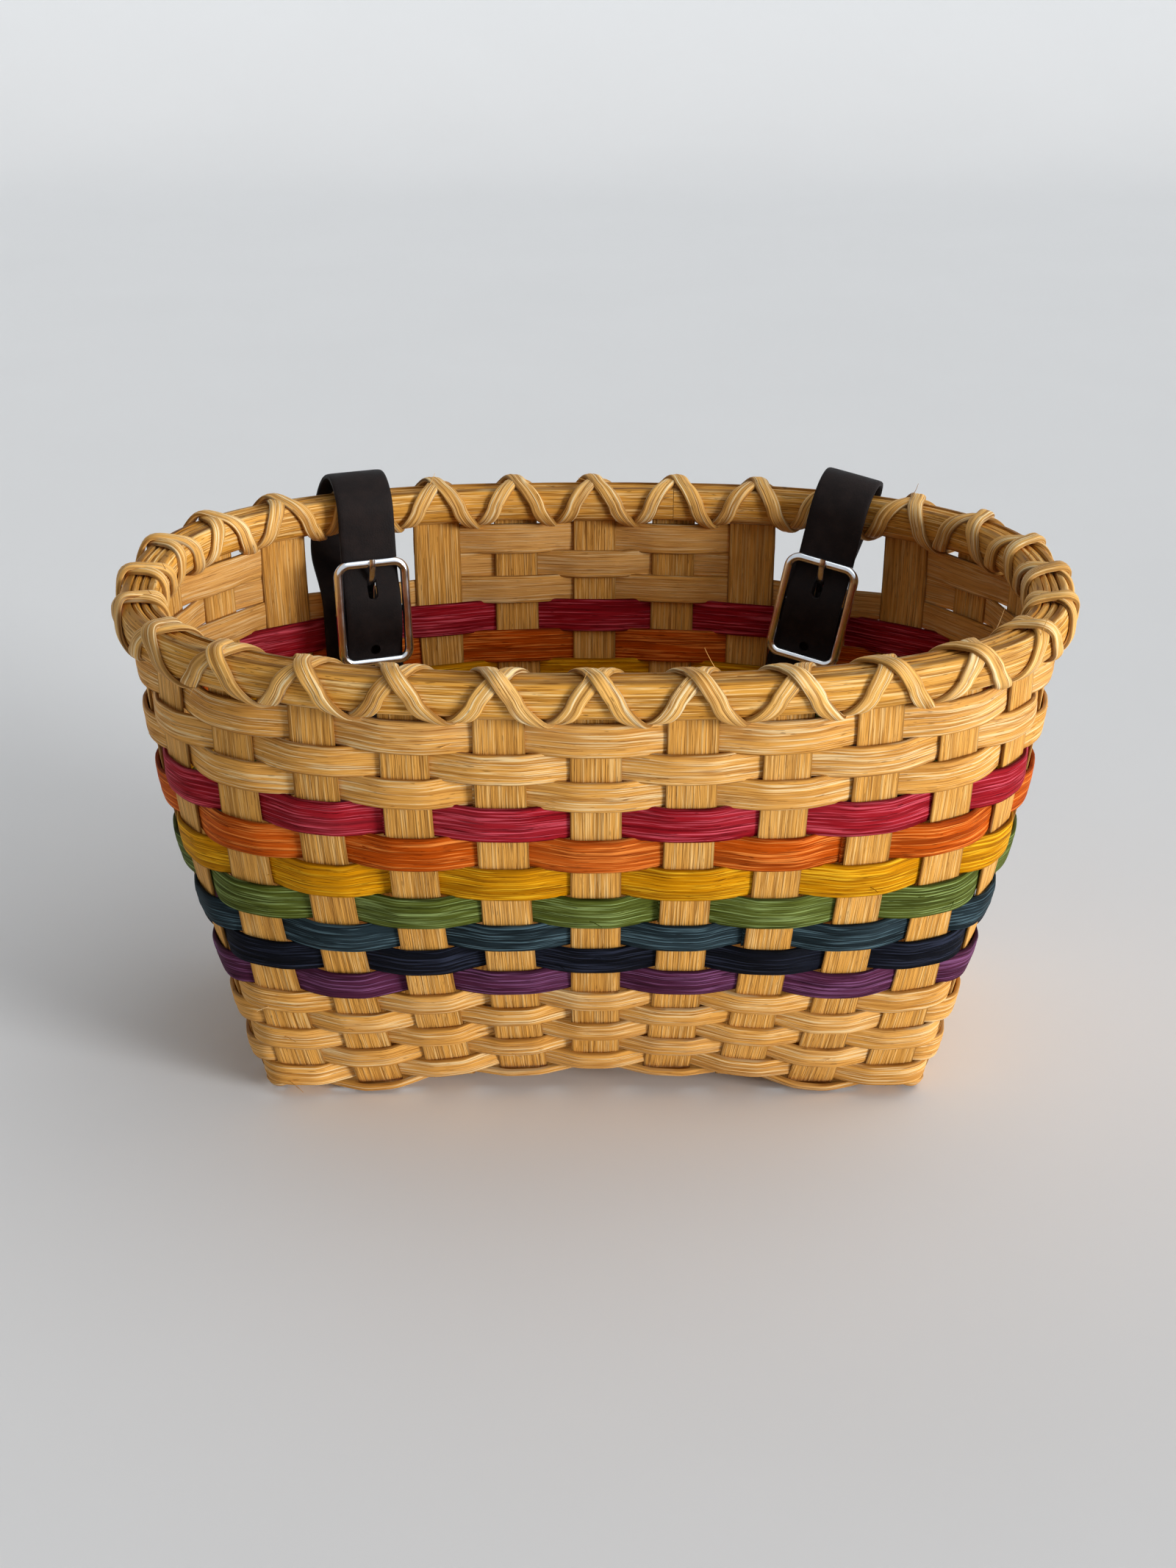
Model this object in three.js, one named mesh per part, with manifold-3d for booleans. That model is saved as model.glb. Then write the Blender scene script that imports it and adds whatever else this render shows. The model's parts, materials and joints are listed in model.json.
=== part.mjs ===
// A hand-woven reed bicycle basket with a lashed rim and two buckled leather straps.
// Millimetres, +Z up, +X along the basket, -Y the front, +Y the side that meets the handlebar.
import * as THREE from 'three';
import { mergeVertices } from 'three/addons/utils/BufferGeometryUtils.js';
import Module from 'manifold-3d';

const wasm = await Module();
wasm.setup();

// Stakes: flat reed that runs down one wall, across the base and up the other wall
const STAKE_WIDTH = 19;
const STAKE_THICKNESS = 1.4;
const CROSS_STAKES = 9;
const LONG_STAKES = 5;
const CROSS_PITCH = 29.3;
const LONG_PITCH = 26;

// Base: a rounded rectangle that stands on its four corners
const BASE_END_MARGIN = 18;
const BASE_SIDE_MARGIN = 17;
const BASE_CORNER_RADIUS = 9;
const BASE_ARCH = 8;
const FOOT_LENGTH_SHARE = 0.8;
const FOOT_DEPTH_SHARE = 0.6;
const ARCH_FLAT_SHARE = 0.15;
const EDGE_INSET = 5;
const EDGE_RISE = 6;

// Wall and rim line
const RIM_HALF_LENGTH = 181.5;
const RIM_HALF_DEPTH = 119.7;
const RIM_POWER = 2.5;
const WALL_FLARE = 2;

// Weavers: one height for each kind of row, counted from the base upwards
const WEAVER_THICKNESS = 1.6;
const WEAVE_CLEARANCE = 0.7;
const ROW_GAP = 0.6;
const FIRST_ROW_WIDTH = 4.4;
const FIRST_ROW_SHARE = 0.42;
const LOW_ROWS = 5;
const LOW_ROW_PITCH = 9.2;
const COOL_ROW_PITCH = 11.7;
const WARM_ROW_PITCH = 13.4;
const TOP_ROW_PITCH = 11.2;

// Rim: two half-round hoops that clamp the wall, with a filler between their top edges
const RIM_HEIGHT = 14.4;
const HOOP_THICKNESS = 5;
const HOOP_CLEARANCE = 0.4;
const RIM_ROW_WIDTH = 10;
const FILLER_HEIGHT = 3.1;
const SEAT_GAP = 0.5;

// Lashing: two strips of flat reed wound round the rim in opposite directions
const LASH_SPREAD = 6.4;
const LASH_THICKNESS = 0.9;
const LASH_CLEARANCE = 0.9;
const LASH_CROSSING_GAP = 0.5;
const LASH_CROWN_HALF = 4.9;
const LASH_SIDE_HALF = 3.9;

// Straps: a leather band over the rim, through a slot in the wall and back up to the buckle
const STRAP_WIDTH = 25;
const STRAP_THICKNESS = 2.4;
const STRAP_BOW = 14.5;
const STRAP_GAP = 0.3;
const STRAP_REST_SWING = 7.6;
const RIGHT_STRAP_LEAN = 10;
const RIGHT_STRAP_SHIFT = 6;
const STRAP_LOOP_DROP = 101;
const STRAP_LOOP_SPREAD = 5;
const SLOT_ENTRY_DROP = 11;
const SLOT_EXIT_DROP = 44.8;
const STRAP_TAIL = 33;
const STRAP_TAIL_LEAN = 6;
const STRAP_TIP_LENGTH = 13;
const STRAP_TIP_WIDTH = 4;
const FOLD_STRAIGHT = 10;
const HOLE_DIAMETER = 4.5;
const HOLE_PITCH = 26;

// Buckles, each with a centre bar set back behind its frame, and the rivets that close the folds
const BUCKLE_WIRE = 3.2;
const BUCKLE_DROP = 21;
const BUCKLE_HALF_HEIGHT = 22;
const BUCKLE_CORNER = 5;
const BUCKLE_SIDE_GAP = 0.9;
const BUCKLE_BULGE = 4;
const CENTRE_BAR = 3;
const BAR_BEND = 1.2;
const TONGUE_WIDTH = 3.6;
const TONGUE_THICKNESS = 2.2;
const TONGUE_RING_WALL = 1.6;
const TONGUE_HOLE_RISE = 9;
const TONGUE_SLOT_HALF = 9.5;
const TONGUE_TIP = 4;
const RIVET_SHANK = 3;
const RIVET_HEAD = 8;
const RIVET_CAP = 0.7;
const RIVET_DROP = 4;

const vec = (x, y, z) => new THREE.Vector3(x, y, z);
const lerp = THREE.MathUtils.lerp;
const radians = THREE.MathUtils.degToRad;

// Sizes that follow from the driving dimensions
const STAKES = 2 * (CROSS_STAKES + LONG_STAKES);
const HALF_CROSS = (CROSS_STAKES - 1) / 2;
const HALF_LONG = (LONG_STAKES - 1) / 2;
const BASE_HALF_LENGTH = HALF_CROSS * CROSS_PITCH + BASE_END_MARGIN;
const BASE_HALF_DEPTH = HALF_LONG * LONG_PITCH + BASE_SIDE_MARGIN;
const BASE_WEAVE = (STAKE_THICKNESS + WEAVE_CLEARANCE) / 2;
const BASE_LEVEL = BASE_WEAVE + STAKE_THICKNESS / 2;
const WALL_START = BASE_LEVEL + BASE_ARCH + EDGE_RISE;
const WEAVE_OFFSET = STAKE_THICKNESS / 2 + WEAVE_CLEARANCE + WEAVER_THICKNESS / 2;
const WALL_HALF = WEAVE_OFFSET + WEAVER_THICKNESS / 2;
const HOOP_SEAT = WALL_HALF + HOOP_CLEARANCE;
const HOOP_REACH = HOOP_SEAT + HOOP_THICKNESS;
const LASH_PITCH = LASH_THICKNESS + LASH_CROSSING_GAP;
const RIM_DROP = RIM_HEIGHT / 2 + LASH_CLEARANCE + 2 * LASH_PITCH + 2 * SEAT_GAP;

// Rows from the lowest wall row to the row under the rim
const COLOURS = {
  natural: 0xd9a765,
  purple: 0x5d2a45,
  navy: 0x161a24,
  blue: 0x2b4250,
  green: 0x5b6a26,
  yellow: 0xd59a12,
  orange: 0xcf5f1c,
  red: 0xab1f35,
  rim: 0xcd9548,
  lash: 0xd8a257,
  leather: 0x1d1a1b,
  metal: 0xc9cbd0,
};
const rows = [];
let rowLevel = WALL_START;
function addRow(name, colour, pitch, opensAtSlots = false) {
  rows.push({ name, colour, low: rowLevel, high: rowLevel + pitch, opensAtSlots });
  rowLevel += pitch;
}
for (let i = 0; i < LOW_ROWS; i += 1) {
  addRow(`natural_weaver_${i + 2}`, COLOURS.natural, LOW_ROW_PITCH);
}
for (const name of ['purple', 'navy', 'blue']) {
  addRow(`${name}_weaver`, COLOURS[name], COOL_ROW_PITCH);
}
for (const name of ['green', 'yellow', 'orange', 'red']) {
  addRow(`${name}_weaver`, COLOURS[name], WARM_ROW_PITCH);
}
addRow(`natural_weaver_${LOW_ROWS + 2}`, COLOURS.natural, TOP_ROW_PITCH);
const SLOT_LEVEL = rowLevel;
addRow(`natural_weaver_${LOW_ROWS + 3}`, COLOURS.natural, TOP_ROW_PITCH, true);
addRow(`natural_weaver_${LOW_ROWS + 4}`, COLOURS.natural, TOP_ROW_PITCH, true);
const RIM_LEVEL = rowLevel + RIM_DROP;

// Each stake end has a number: 0 at the front centre, rising towards +X and round the basket
const BACK_CENTRE = STAKES / 2;
const RIGHT_CENTRE = STAKES / 4;
const LEFT_CENTRE = 3 * RIGHT_CENTRE;
const RIGHT_SLOT = BACK_CENTRE - 3;
const LEFT_SLOT = BACK_CENTRE + 3;

// The rim line is a superellipse, walked at an even pace from the front centre
class RimLine extends THREE.Curve {
  getPoint(t, target = new THREE.Vector3()) {
    const angle = (t - 0.25) * 2 * Math.PI;
    const bend = (value) => Math.sign(value) * Math.abs(value) ** (2 / RIM_POWER);
    return target.set(RIM_HALF_LENGTH * bend(Math.cos(angle)), RIM_HALF_DEPTH * bend(Math.sin(angle)), 0);
  }
}
const rimLine = new RimLine();
rimLine.arcLengthDivisions = 2000;

// The base line is a rounded rectangle, walked from the front centre
const baseLine = new THREE.Path();
const straightX = BASE_HALF_LENGTH - BASE_CORNER_RADIUS;
const straightY = BASE_HALF_DEPTH - BASE_CORNER_RADIUS;
baseLine.moveTo(0, -BASE_HALF_DEPTH);
baseLine.lineTo(straightX, -BASE_HALF_DEPTH);
const quarters = [[1, -1], [1, 1], [-1, 1], [-1, -1]];
quarters.forEach(([x, y], i) => {
  const start = (i - 1) * Math.PI / 2;
  baseLine.absarc(x * straightX, y * straightY, BASE_CORNER_RADIUS, start, start + Math.PI / 2, false);
});
baseLine.lineTo(0, -BASE_HALF_DEPTH);
const QUARTER = straightX + straightY + BASE_CORNER_RADIUS * Math.PI / 2;

// Distance along the base line of each stake, and of any place between two stakes
function isLongSide(k) {
  return Math.abs(k - RIGHT_CENTRE) <= HALF_LONG || Math.abs(k - LEFT_CENTRE) <= HALF_LONG;
}
function markOf(k) {
  if (isLongSide(k)) {
    const centre = k < BACK_CENTRE ? RIGHT_CENTRE : LEFT_CENTRE;
    return (k < BACK_CENTRE ? 1 : 3) * QUARTER + (k - centre) * LONG_PITCH;
  }
  const centre = Math.round(k / BACK_CENTRE) * BACK_CENTRE;
  return Math.round(k / BACK_CENTRE) * 2 * QUARTER + (k - centre) * CROSS_PITCH;
}
function basePoint(u) {
  const turn = ((u % STAKES) + STAKES) % STAKES;
  const k = Math.floor(turn);
  const distance = lerp(markOf(k), markOf(k + 1), turn - k);
  return baseLine.getPoint((distance / (4 * QUARTER)) % 1);
}
function rimPoint(u) {
  return rimLine.getPointAt((((u / STAKES) % 1) + 1) % 1);
}

// The base rises between its four corners
function archHeight(x, y) {
  const { smoothstep } = THREE.MathUtils;
  const towardsEnd = smoothstep(Math.abs(x) / BASE_HALF_LENGTH, ARCH_FLAT_SHARE, FOOT_LENGTH_SHARE);
  const towardsSide = smoothstep(Math.abs(y) / BASE_HALF_DEPTH, 0, FOOT_DEPTH_SHARE);
  return BASE_ARCH * (1 - towardsEnd * towardsSide);
}

// Share of the wall's height for a level given at the front centre
const wallShare = (level) => (level - WALL_START) / (RIM_LEVEL - WALL_START);

// The middle surface of the wall at stake place u and height share v
function wallPoint(u, v) {
  const foot = basePoint(u);
  const top = rimPoint(u);
  const spread = 1 - Math.max(0, 1 - v) ** WALL_FLARE;
  const start = BASE_LEVEL + archHeight(foot.x, foot.y) + EDGE_RISE;
  return vec(lerp(foot.x, top.x, spread), lerp(foot.y, top.y, spread), lerp(start, RIM_LEVEL, v));
}
function wallFrame(u, v) {
  const du = 0.05;
  const dv = 0.01;
  const along = wallPoint(u + du, v).sub(wallPoint(u - du, v)).normalize();
  const up = wallPoint(u, v + dv).sub(wallPoint(u, v - dv)).normalize();
  const out = along.clone().cross(up).normalize();
  return { point: wallPoint(u, v), along: up.clone().cross(out), up, out };
}

// The bevel between base and wall, which carries the first row
function bevelFrame(u, share) {
  const start = wallFrame(u, 0);
  const inward = vec(-start.out.x, -start.out.y, 0).normalize();
  const foot = start.point.clone().addScaledVector(inward, EDGE_INSET).add(vec(0, 0, -EDGE_RISE));
  const up = start.point.clone().sub(foot).normalize();
  const along = inward.clone().cross(vec(0, 0, 1)).normalize();
  return { point: foot.lerp(start.point, share), along, up, out: along.clone().cross(up).normalize() };
}

// Closed solid through a run of equal polygons, joined end to end where closed is true
function sweep(rings, closed) {
  const sides = rings[0].length;
  const positions = rings.flat().flatMap((p) => [p.x, p.y, p.z]);
  const index = [];
  const spans = closed ? rings.length : rings.length - 1;
  for (let i = 0; i < spans; i += 1) {
    const here = i * sides;
    const next = ((i + 1) % rings.length) * sides;
    for (let j = 0; j < sides; j += 1) {
      const k = (j + 1) % sides;
      index.push(here + j, next + j, next + k, here + j, next + k, here + k);
    }
  }
  if (!closed) {
    const last = (rings.length - 1) * sides;
    for (let j = 1; j < sides - 1; j += 1) {
      index.push(0, j, j + 1, last, last + j + 1, last + j);
    }
  }
  const geometry = new THREE.BufferGeometry();
  geometry.setAttribute('position', new THREE.Float32BufferAttribute(positions, 3));
  geometry.setIndex(signedVolume(rings, index) < 0 ? index.reverse() : index);
  return geometry;
}
function signedVolume(rings, index) {
  const points = rings.flat();
  let total = 0;
  for (let i = 0; i < index.length; i += 3) {
    const [a, b, c] = [points[index[i]], points[index[i + 1]], points[index[i + 2]]];
    total += a.dot(b.clone().cross(c));
  }
  return total;
}

// Closed meshes joined and cut
function toSolid(geometry) {
  const plain = geometry.clone();
  plain.deleteAttribute('normal');
  plain.deleteAttribute('uv');
  const merged = mergeVertices(plain, 1e-4);
  const vertProperties = new Float32Array(merged.attributes.position.array);
  const triVerts = new Uint32Array(merged.index.array);
  return new wasm.Manifold(new wasm.Mesh({ numProp: 3, vertProperties, triVerts }));
}
function fromSolid(solid) {
  const mesh = solid.getMesh();
  const geometry = new THREE.BufferGeometry();
  geometry.setAttribute('position', new THREE.Float32BufferAttribute(mesh.vertProperties, 3));
  geometry.setIndex([...mesh.triVerts]);
  return geometry;
}

const basket = new THREE.Group();
function addPiece(parent, name, geometry, colour, roughness, metalness = 0) {
  const material = new THREE.MeshStandardMaterial({ color: colour, roughness, metalness });
  const mesh = new THREE.Mesh(geometry, material);
  mesh.name = name;
  parent.add(mesh);
}

// Stakes
const STAKE_TOP = RIM_LEVEL + RIM_HEIGHT / 2 - FILLER_HEIGHT - SEAT_GAP;
const stakeLevels = [WALL_START, ...rows.filter((row, i) => i % 2 === 1).map((row) => row.high), RIM_LEVEL];

// A strip's four corners at one place: side reaches to its edge and face to its surface
function stripRing(point, side, face) {
  const signs = [[-1, -1], [-1, 1], [1, 1], [1, -1]];
  return signs.map(([a, b]) => point.clone().addScaledVector(side, a).addScaledVector(face, b));
}
function stakeRing(frame, along) {
  const side = along.clone().multiplyScalar(STAKE_WIDTH / 2);
  return stripRing(frame.point, side, frame.out.clone().multiplyScalar(STAKE_THICKNESS / 2));
}
function stakeWall(u, top, along) {
  const levels = [...stakeLevels.filter((level) => level < top - 1), top];
  return levels.map((level) => {
    const frame = wallFrame(u, wallShare(level));
    return stakeRing(frame, frame.along.clone().multiplyScalar(along));
  });
}
// A ring of a base strip on the base's tangent plane at a crossing, reach along the strip from it
function baseRing(x, y, reach, lift, direction) {
  const step = 0.5;
  const slopeX = (archHeight(x + step, y) - archHeight(x - step, y)) / (2 * step);
  const slopeY = (archHeight(x, y + step) - archHeight(x, y - step)) / (2 * step);
  const onPlane = (dx, dy) => vec(dx, dy, slopeX * dx + slopeY * dy);
  const across = direction.clone().cross(vec(0, 0, 1));
  const point = vec(x, y, BASE_LEVEL + archHeight(x, y) + lift);
  point.add(onPlane(reach * direction.x, reach * direction.y));
  const out = vec(slopeX, slopeY, -1).normalize();
  return stakeRing({ point, out }, onPlane(across.x, across.y).normalize());
}
// The ring where a strip leaves the base for the wall
function footRing(u, along) {
  const frame = bevelFrame(u, 0);
  frame.out.add(vec(0, 0, -1)).normalize();
  return stakeRing(frame, frame.along.clone().multiplyScalar(along));
}
// Crossings alternate under and over, and the outer cross stakes end under the outer long stakes
const crossLift = (i, j) => ((i + j) % 2 === 0 ? -BASE_WEAVE : BASE_WEAVE);

function crossStake(i) {
  const x = (i - 1 - HALF_CROSS) * CROSS_PITCH;
  const front = i - 1 - HALF_CROSS;
  const back = BACK_CENTRE - front;
  const cutShort = back === LEFT_SLOT || back === RIGHT_SLOT;
  const rings = stakeWall(front, STAKE_TOP, 1).reverse();
  rings.push(footRing(front, 1));
  const direction = vec(0, 1, 0);
  for (let j = 1; j <= LONG_STAKES; j += 1) {
    const y = (j - 1 - HALF_LONG) * LONG_PITCH;
    const reach = STAKE_WIDTH / 2 + WEAVE_CLEARANCE;
    rings.push(baseRing(x, y, -reach, crossLift(i, j), direction));
    rings.push(baseRing(x, y, reach, crossLift(i, j), direction));
  }
  const top = cutShort ? SLOT_LEVEL - ROW_GAP : STAKE_TOP;
  rings.push(footRing(back, -1));
  rings.push(...stakeWall(back, top, -1));
  return sweep(rings, false);
}
function longStake(j) {
  const y = (j - 1 - HALF_LONG) * LONG_PITCH;
  const left = LEFT_CENTRE - (j - 1 - HALF_LONG);
  const right = RIGHT_CENTRE + (j - 1 - HALF_LONG);
  const rings = stakeWall(left, STAKE_TOP, 1).reverse();
  rings.push(footRing(left, 1));
  const direction = vec(1, 0, 0);
  for (let i = 1; i <= CROSS_STAKES; i += 1) {
    const x = (i - 1 - HALF_CROSS) * CROSS_PITCH;
    const reach = STAKE_WIDTH / 2 + WEAVE_CLEARANCE;
    rings.push(baseRing(x, y, -reach, -crossLift(i, j), direction));
    rings.push(baseRing(x, y, reach, -crossLift(i, j), direction));
  }
  rings.push(footRing(right, -1));
  rings.push(...stakeWall(right, STAKE_TOP, -1));
  return sweep(rings, false);
}
for (let i = 1; i <= CROSS_STAKES; i += 1) {
  addPiece(basket, `cross_stake_${i}`, crossStake(i), COLOURS.natural, 0.62);
}
for (let j = 1; j <= LONG_STAKES; j += 1) {
  addPiece(basket, `long_stake_${j}`, longStake(j), COLOURS.natural, 0.62);
}

// Weavers: flat over each stake's width, passing outside and inside by turns
function weaverRings(low, high, outside) {
  const offset = outside ? WEAVE_OFFSET : -WEAVE_OFFSET;
  return [-1, 1].map((edge) => {
    const shift = edge * (STAKE_WIDTH / 2 + WEAVE_CLEARANCE);
    const corner = (frame, depth) => frame.point.clone()
      .addScaledVector(frame.along, shift).addScaledVector(frame.out, offset + depth);
    const face = WEAVER_THICKNESS / 2;
    return [corner(low, face), corner(high, face), corner(high, -face), corner(low, -face)];
  });
}
function weaver(row, order, first, count) {
  const rings = [];
  for (let n = 0; n < count; n += 1) {
    const k = (first + n + STAKES) % STAKES;
    const low = wallFrame(k, wallShare(row.low + ROW_GAP / 2));
    const high = wallFrame(k, wallShare(row.high - ROW_GAP / 2));
    rings.push(...weaverRings(low, high, (k + order) % 2 === 0));
  }
  return sweep(rings, count === STAKES);
}
function firstRow() {
  const rings = [];
  const reach = FIRST_ROW_WIDTH / 2 / Math.hypot(EDGE_INSET, EDGE_RISE);
  for (let k = 0; k < STAKES; k += 1) {
    const low = bevelFrame(k, FIRST_ROW_SHARE - reach);
    const high = bevelFrame(k, FIRST_ROW_SHARE + reach);
    rings.push(...weaverRings(low, high, k % 2 === 1));
  }
  return sweep(rings, true);
}
addPiece(basket, 'natural_weaver_1', firstRow(), COLOURS.natural, 0.6);
rows.forEach((row, order) => {
  if (row.opensAtSlots) {
    const span = LEFT_SLOT - RIGHT_SLOT - 1;
    const front = weaver(row, order, LEFT_SLOT + 1, STAKES - span - 2);
    addPiece(basket, `${row.name}_front`, front, row.colour, 0.6);
    addPiece(basket, `${row.name}_back`, weaver(row, order, RIGHT_SLOT + 1, span), row.colour, 0.6);
  } else {
    addPiece(basket, row.name, weaver(row, order, 0, STAKES), row.colour, 0.6);
  }
});
const rimRowLow = RIM_LEVEL - RIM_HEIGHT / 2 + SEAT_GAP;
const rimRow = { low: rimRowLow, high: rimRowLow + RIM_ROW_WIDTH };
addPiece(basket, 'rim_weaver', weaver(rimRow, rows.length, 0, STAKES), COLOURS.natural, 0.6);

// Stations of the rim: one at each edge of each stake, with a level outward direction
const rimStations = [];
for (let k = 0; k < STAKES; k += 1) {
  const frame = wallFrame(k, 1);
  const out = vec(frame.out.x, frame.out.y, 0).normalize();
  for (const edge of [-1, 1]) {
    const shift = edge * (STAKE_WIDTH / 2 + WEAVE_CLEARANCE);
    rimStations.push({ point: frame.point.clone().addScaledVector(frame.along, shift), out });
  }
}
// A place on the rim at stake place u, on the straight runs between the stations
function rimPlace(u) {
  const lap = (STAKE_WIDTH / 2 + WEAVE_CLEARANCE) / (rimLine.getLength() / STAKES);
  const turn = ((u % STAKES) + STAKES) % STAKES;
  const k = Math.round(turn);
  const near = turn - k;
  let index = 2 * k;
  let share = (near + lap) / (2 * lap);
  if (near > lap) {
    index = 2 * k + 1;
    share = (near - lap) / (1 - 2 * lap);
  } else if (near < -lap) {
    index = 2 * k - 1;
    share = (near + 1 - lap) / (1 - 2 * lap);
  }
  const total = rimStations.length;
  const here = rimStations[(index + total) % total];
  const next = rimStations[(index + 1 + total) % total];
  const out = here.out.clone().lerp(next.out, share).normalize();
  return { point: here.point.clone().lerp(next.point, share), out };
}
const onRim = (place, n, z) => place.point.clone().addScaledVector(place.out, n).add(vec(0, 0, z));

// Half-round hoops and filler
function hoop(section) {
  return sweep(rimStations.map((place) => section.map(([n, z]) => onRim(place, n, z))), true);
}
const HOOP_ARC_STEPS = 5;
const halfRound = [];
for (let i = 0; i <= HOOP_ARC_STEPS; i += 1) {
  const angle = (i / HOOP_ARC_STEPS - 0.5) * Math.PI;
  halfRound.push([HOOP_SEAT + HOOP_THICKNESS * Math.cos(angle), RIM_HEIGHT / 2 * Math.sin(angle)]);
}
addPiece(basket, 'rim_outer', hoop(halfRound), COLOURS.rim, 0.55);
addPiece(basket, 'rim_inner', hoop(halfRound.map(([n, z]) => [-n, z])), COLOURS.rim, 0.55);
const fillerHalf = HOOP_SEAT - SEAT_GAP;
const fillerLevel = STAKE_TOP - RIM_LEVEL + SEAT_GAP + FILLER_HEIGHT / 2;
const fillerSection = [
  [fillerHalf, fillerLevel],
  [0, fillerLevel + FILLER_HEIGHT / 2],
  [-fillerHalf, fillerLevel],
  [0, fillerLevel - FILLER_HEIGHT / 2],
];
addPiece(basket, 'rim_filler', hoop(fillerSection), COLOURS.rim, 0.6);

// Lashing: each loop passes under the rim in the gap between two stakes and over it above a stake
function lashLoop(rise) {
  const reach = HOOP_REACH + LASH_CLEARANCE + LASH_THICKNESS / 2 + rise;
  const crown = RIM_HEIGHT / 2 + LASH_CLEARANCE + LASH_THICKNESS / 2 + rise;
  const chamfer = (Math.SQRT2 - 1) * rise;
  const quarter = [[LASH_CROWN_HALF + chamfer, -crown], [reach, -LASH_SIDE_HALF - chamfer]];
  const outer = [...quarter, ...quarter.map(([n, z]) => [n, -z]).reverse()];
  return [...outer, ...outer.map(([n, z]) => [-n, z]).reverse()];
}
function lashing(name, turn, rise) {
  const loop = lashLoop(rise);
  const steps = loop.length;
  const centres = [];
  const rings = [];
  for (let i = 0; i < STAKES * steps - 1; i += 1) {
    const place = rimPlace(BACK_CENTRE + 0.5 + turn * (i + 0.5) / steps);
    const [before, here, after] = [-1, 0, 1].map((d) => new THREE.Vector2(...loop[(i + d + steps) % steps]));
    const inTravel = here.clone().sub(before).normalize();
    const outTravel = after.clone().sub(here).normalize();
    const travel = inTravel.clone().add(outTravel).normalize();
    const miter = LASH_THICKNESS / 2 / travel.dot(outTravel);
    const face = place.out.clone().multiplyScalar(travel.y * miter).add(vec(0, 0, -travel.x * miter));
    const side = vec(0, 0, 1).cross(place.out).multiplyScalar(LASH_SPREAD / 2);
    const centre = onRim(place, here.x, here.y);
    centres.push(centre);
    rings.push(stripRing(centre, side, face));
  }
  let least = Infinity;
  for (let i = 0; i < centres.length; i += 1) {
    for (let j = i + steps / 2; j < centres.length; j += 1) {
      least = Math.min(least, centres[i].distanceTo(centres[j]) - LASH_SPREAD);
    }
  }
  console.log(`${name}: least gap to itself ${least.toFixed(2)} mm`);
  addPiece(basket, name, sweep(rings, false), COLOURS.lash, 0.6);
}
lashing('lashing_under', 1, 0);
lashing('lashing_over', -1, LASH_PITCH);

// Straps, drawn in a side view: h runs from the rim into the basket, z up from the rim's middle
const strapHalf = STRAP_THICKNESS / 2;
const bow = STRAP_BOW + strapHalf;
const barTop = -BUCKLE_DROP;
const barMiddle = barTop - BUCKLE_HALF_HEIGHT;
const barBottom = barMiddle - BUCKLE_HALF_HEIGHT;
const frameDepth = bow + strapHalf + STRAP_GAP + BUCKLE_WIRE / 2;
const foldRadius = CENTRE_BAR / 2 + STRAP_GAP + strapHalf;
const barDepth = bow + BUCKLE_BULGE - STRAP_GAP - STRAP_THICKNESS - foldRadius;
const wallRun = WALL_HALF + SEAT_GAP + strapHalf;
const chapeDepth = bow - STRAP_THICKNESS - STRAP_GAP - 2 * RIVET_CAP;
const foldEndDepth = chapeDepth - STRAP_THICKNESS - 2 * STRAP_GAP;
const loopDepth = chapeDepth + STRAP_LOOP_SPREAD;
const turnRadius = (loopDepth - wallRun) / 2;
const rivetLevel = barBottom - RIVET_DROP;
const tailEnd = barBottom - STRAP_TAIL;

function strapPath() {
  const path = new THREE.Path();
  // A bend that leaves and arrives upright
  const ease = (h, z) => {
    const { x, y } = path.currentPoint;
    path.bezierCurveTo(x, (y + z) / 2, h, (y + z) / 2, h, z);
  };
  path.moveTo(bow + STRAP_TAIL_LEAN, tailEnd);
  ease(bow, barBottom);
  ease(bow + BUCKLE_BULGE, barMiddle);
  ease(bow, barTop);
  path.lineTo(bow, 0);
  path.absarc(0, 0, bow, 0, Math.PI, false);
  path.lineTo(-bow, -SLOT_ENTRY_DROP);
  ease(wallRun, -SLOT_EXIT_DROP);
  path.lineTo(wallRun, -STRAP_LOOP_DROP);
  path.absarc(wallRun + turnRadius, -STRAP_LOOP_DROP, turnRadius, Math.PI, 2 * Math.PI, false);
  ease(chapeDepth, barBottom - FOLD_STRAIGHT);
  path.lineTo(chapeDepth, barBottom);
  ease(barDepth + foldRadius, barMiddle);
  path.absarc(barDepth, barMiddle, foldRadius, 0, Math.PI, false);
  ease(foldEndDepth, barBottom);
  path.lineTo(foldEndDepth, barBottom - FOLD_STRAIGHT);
  return path.getPoints(4);
}
// Outline of a band of even thickness along a path
function bandShape(points, thickness) {
  const clean = points.filter((p, i) => i === 0 || p.distanceTo(points[i - 1]) > 0.01);
  const offset = (sign) => clean.map((p, i) => {
    const before = clean[Math.max(0, i - 1)];
    const after = clean[Math.min(clean.length - 1, i + 1)];
    const travel = after.clone().sub(before).normalize();
    return new THREE.Vector2(p.x - sign * travel.y * thickness / 2, p.y + sign * travel.x * thickness / 2);
  });
  return new THREE.Shape([...offset(1), ...offset(-1).reverse()]);
}
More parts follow.
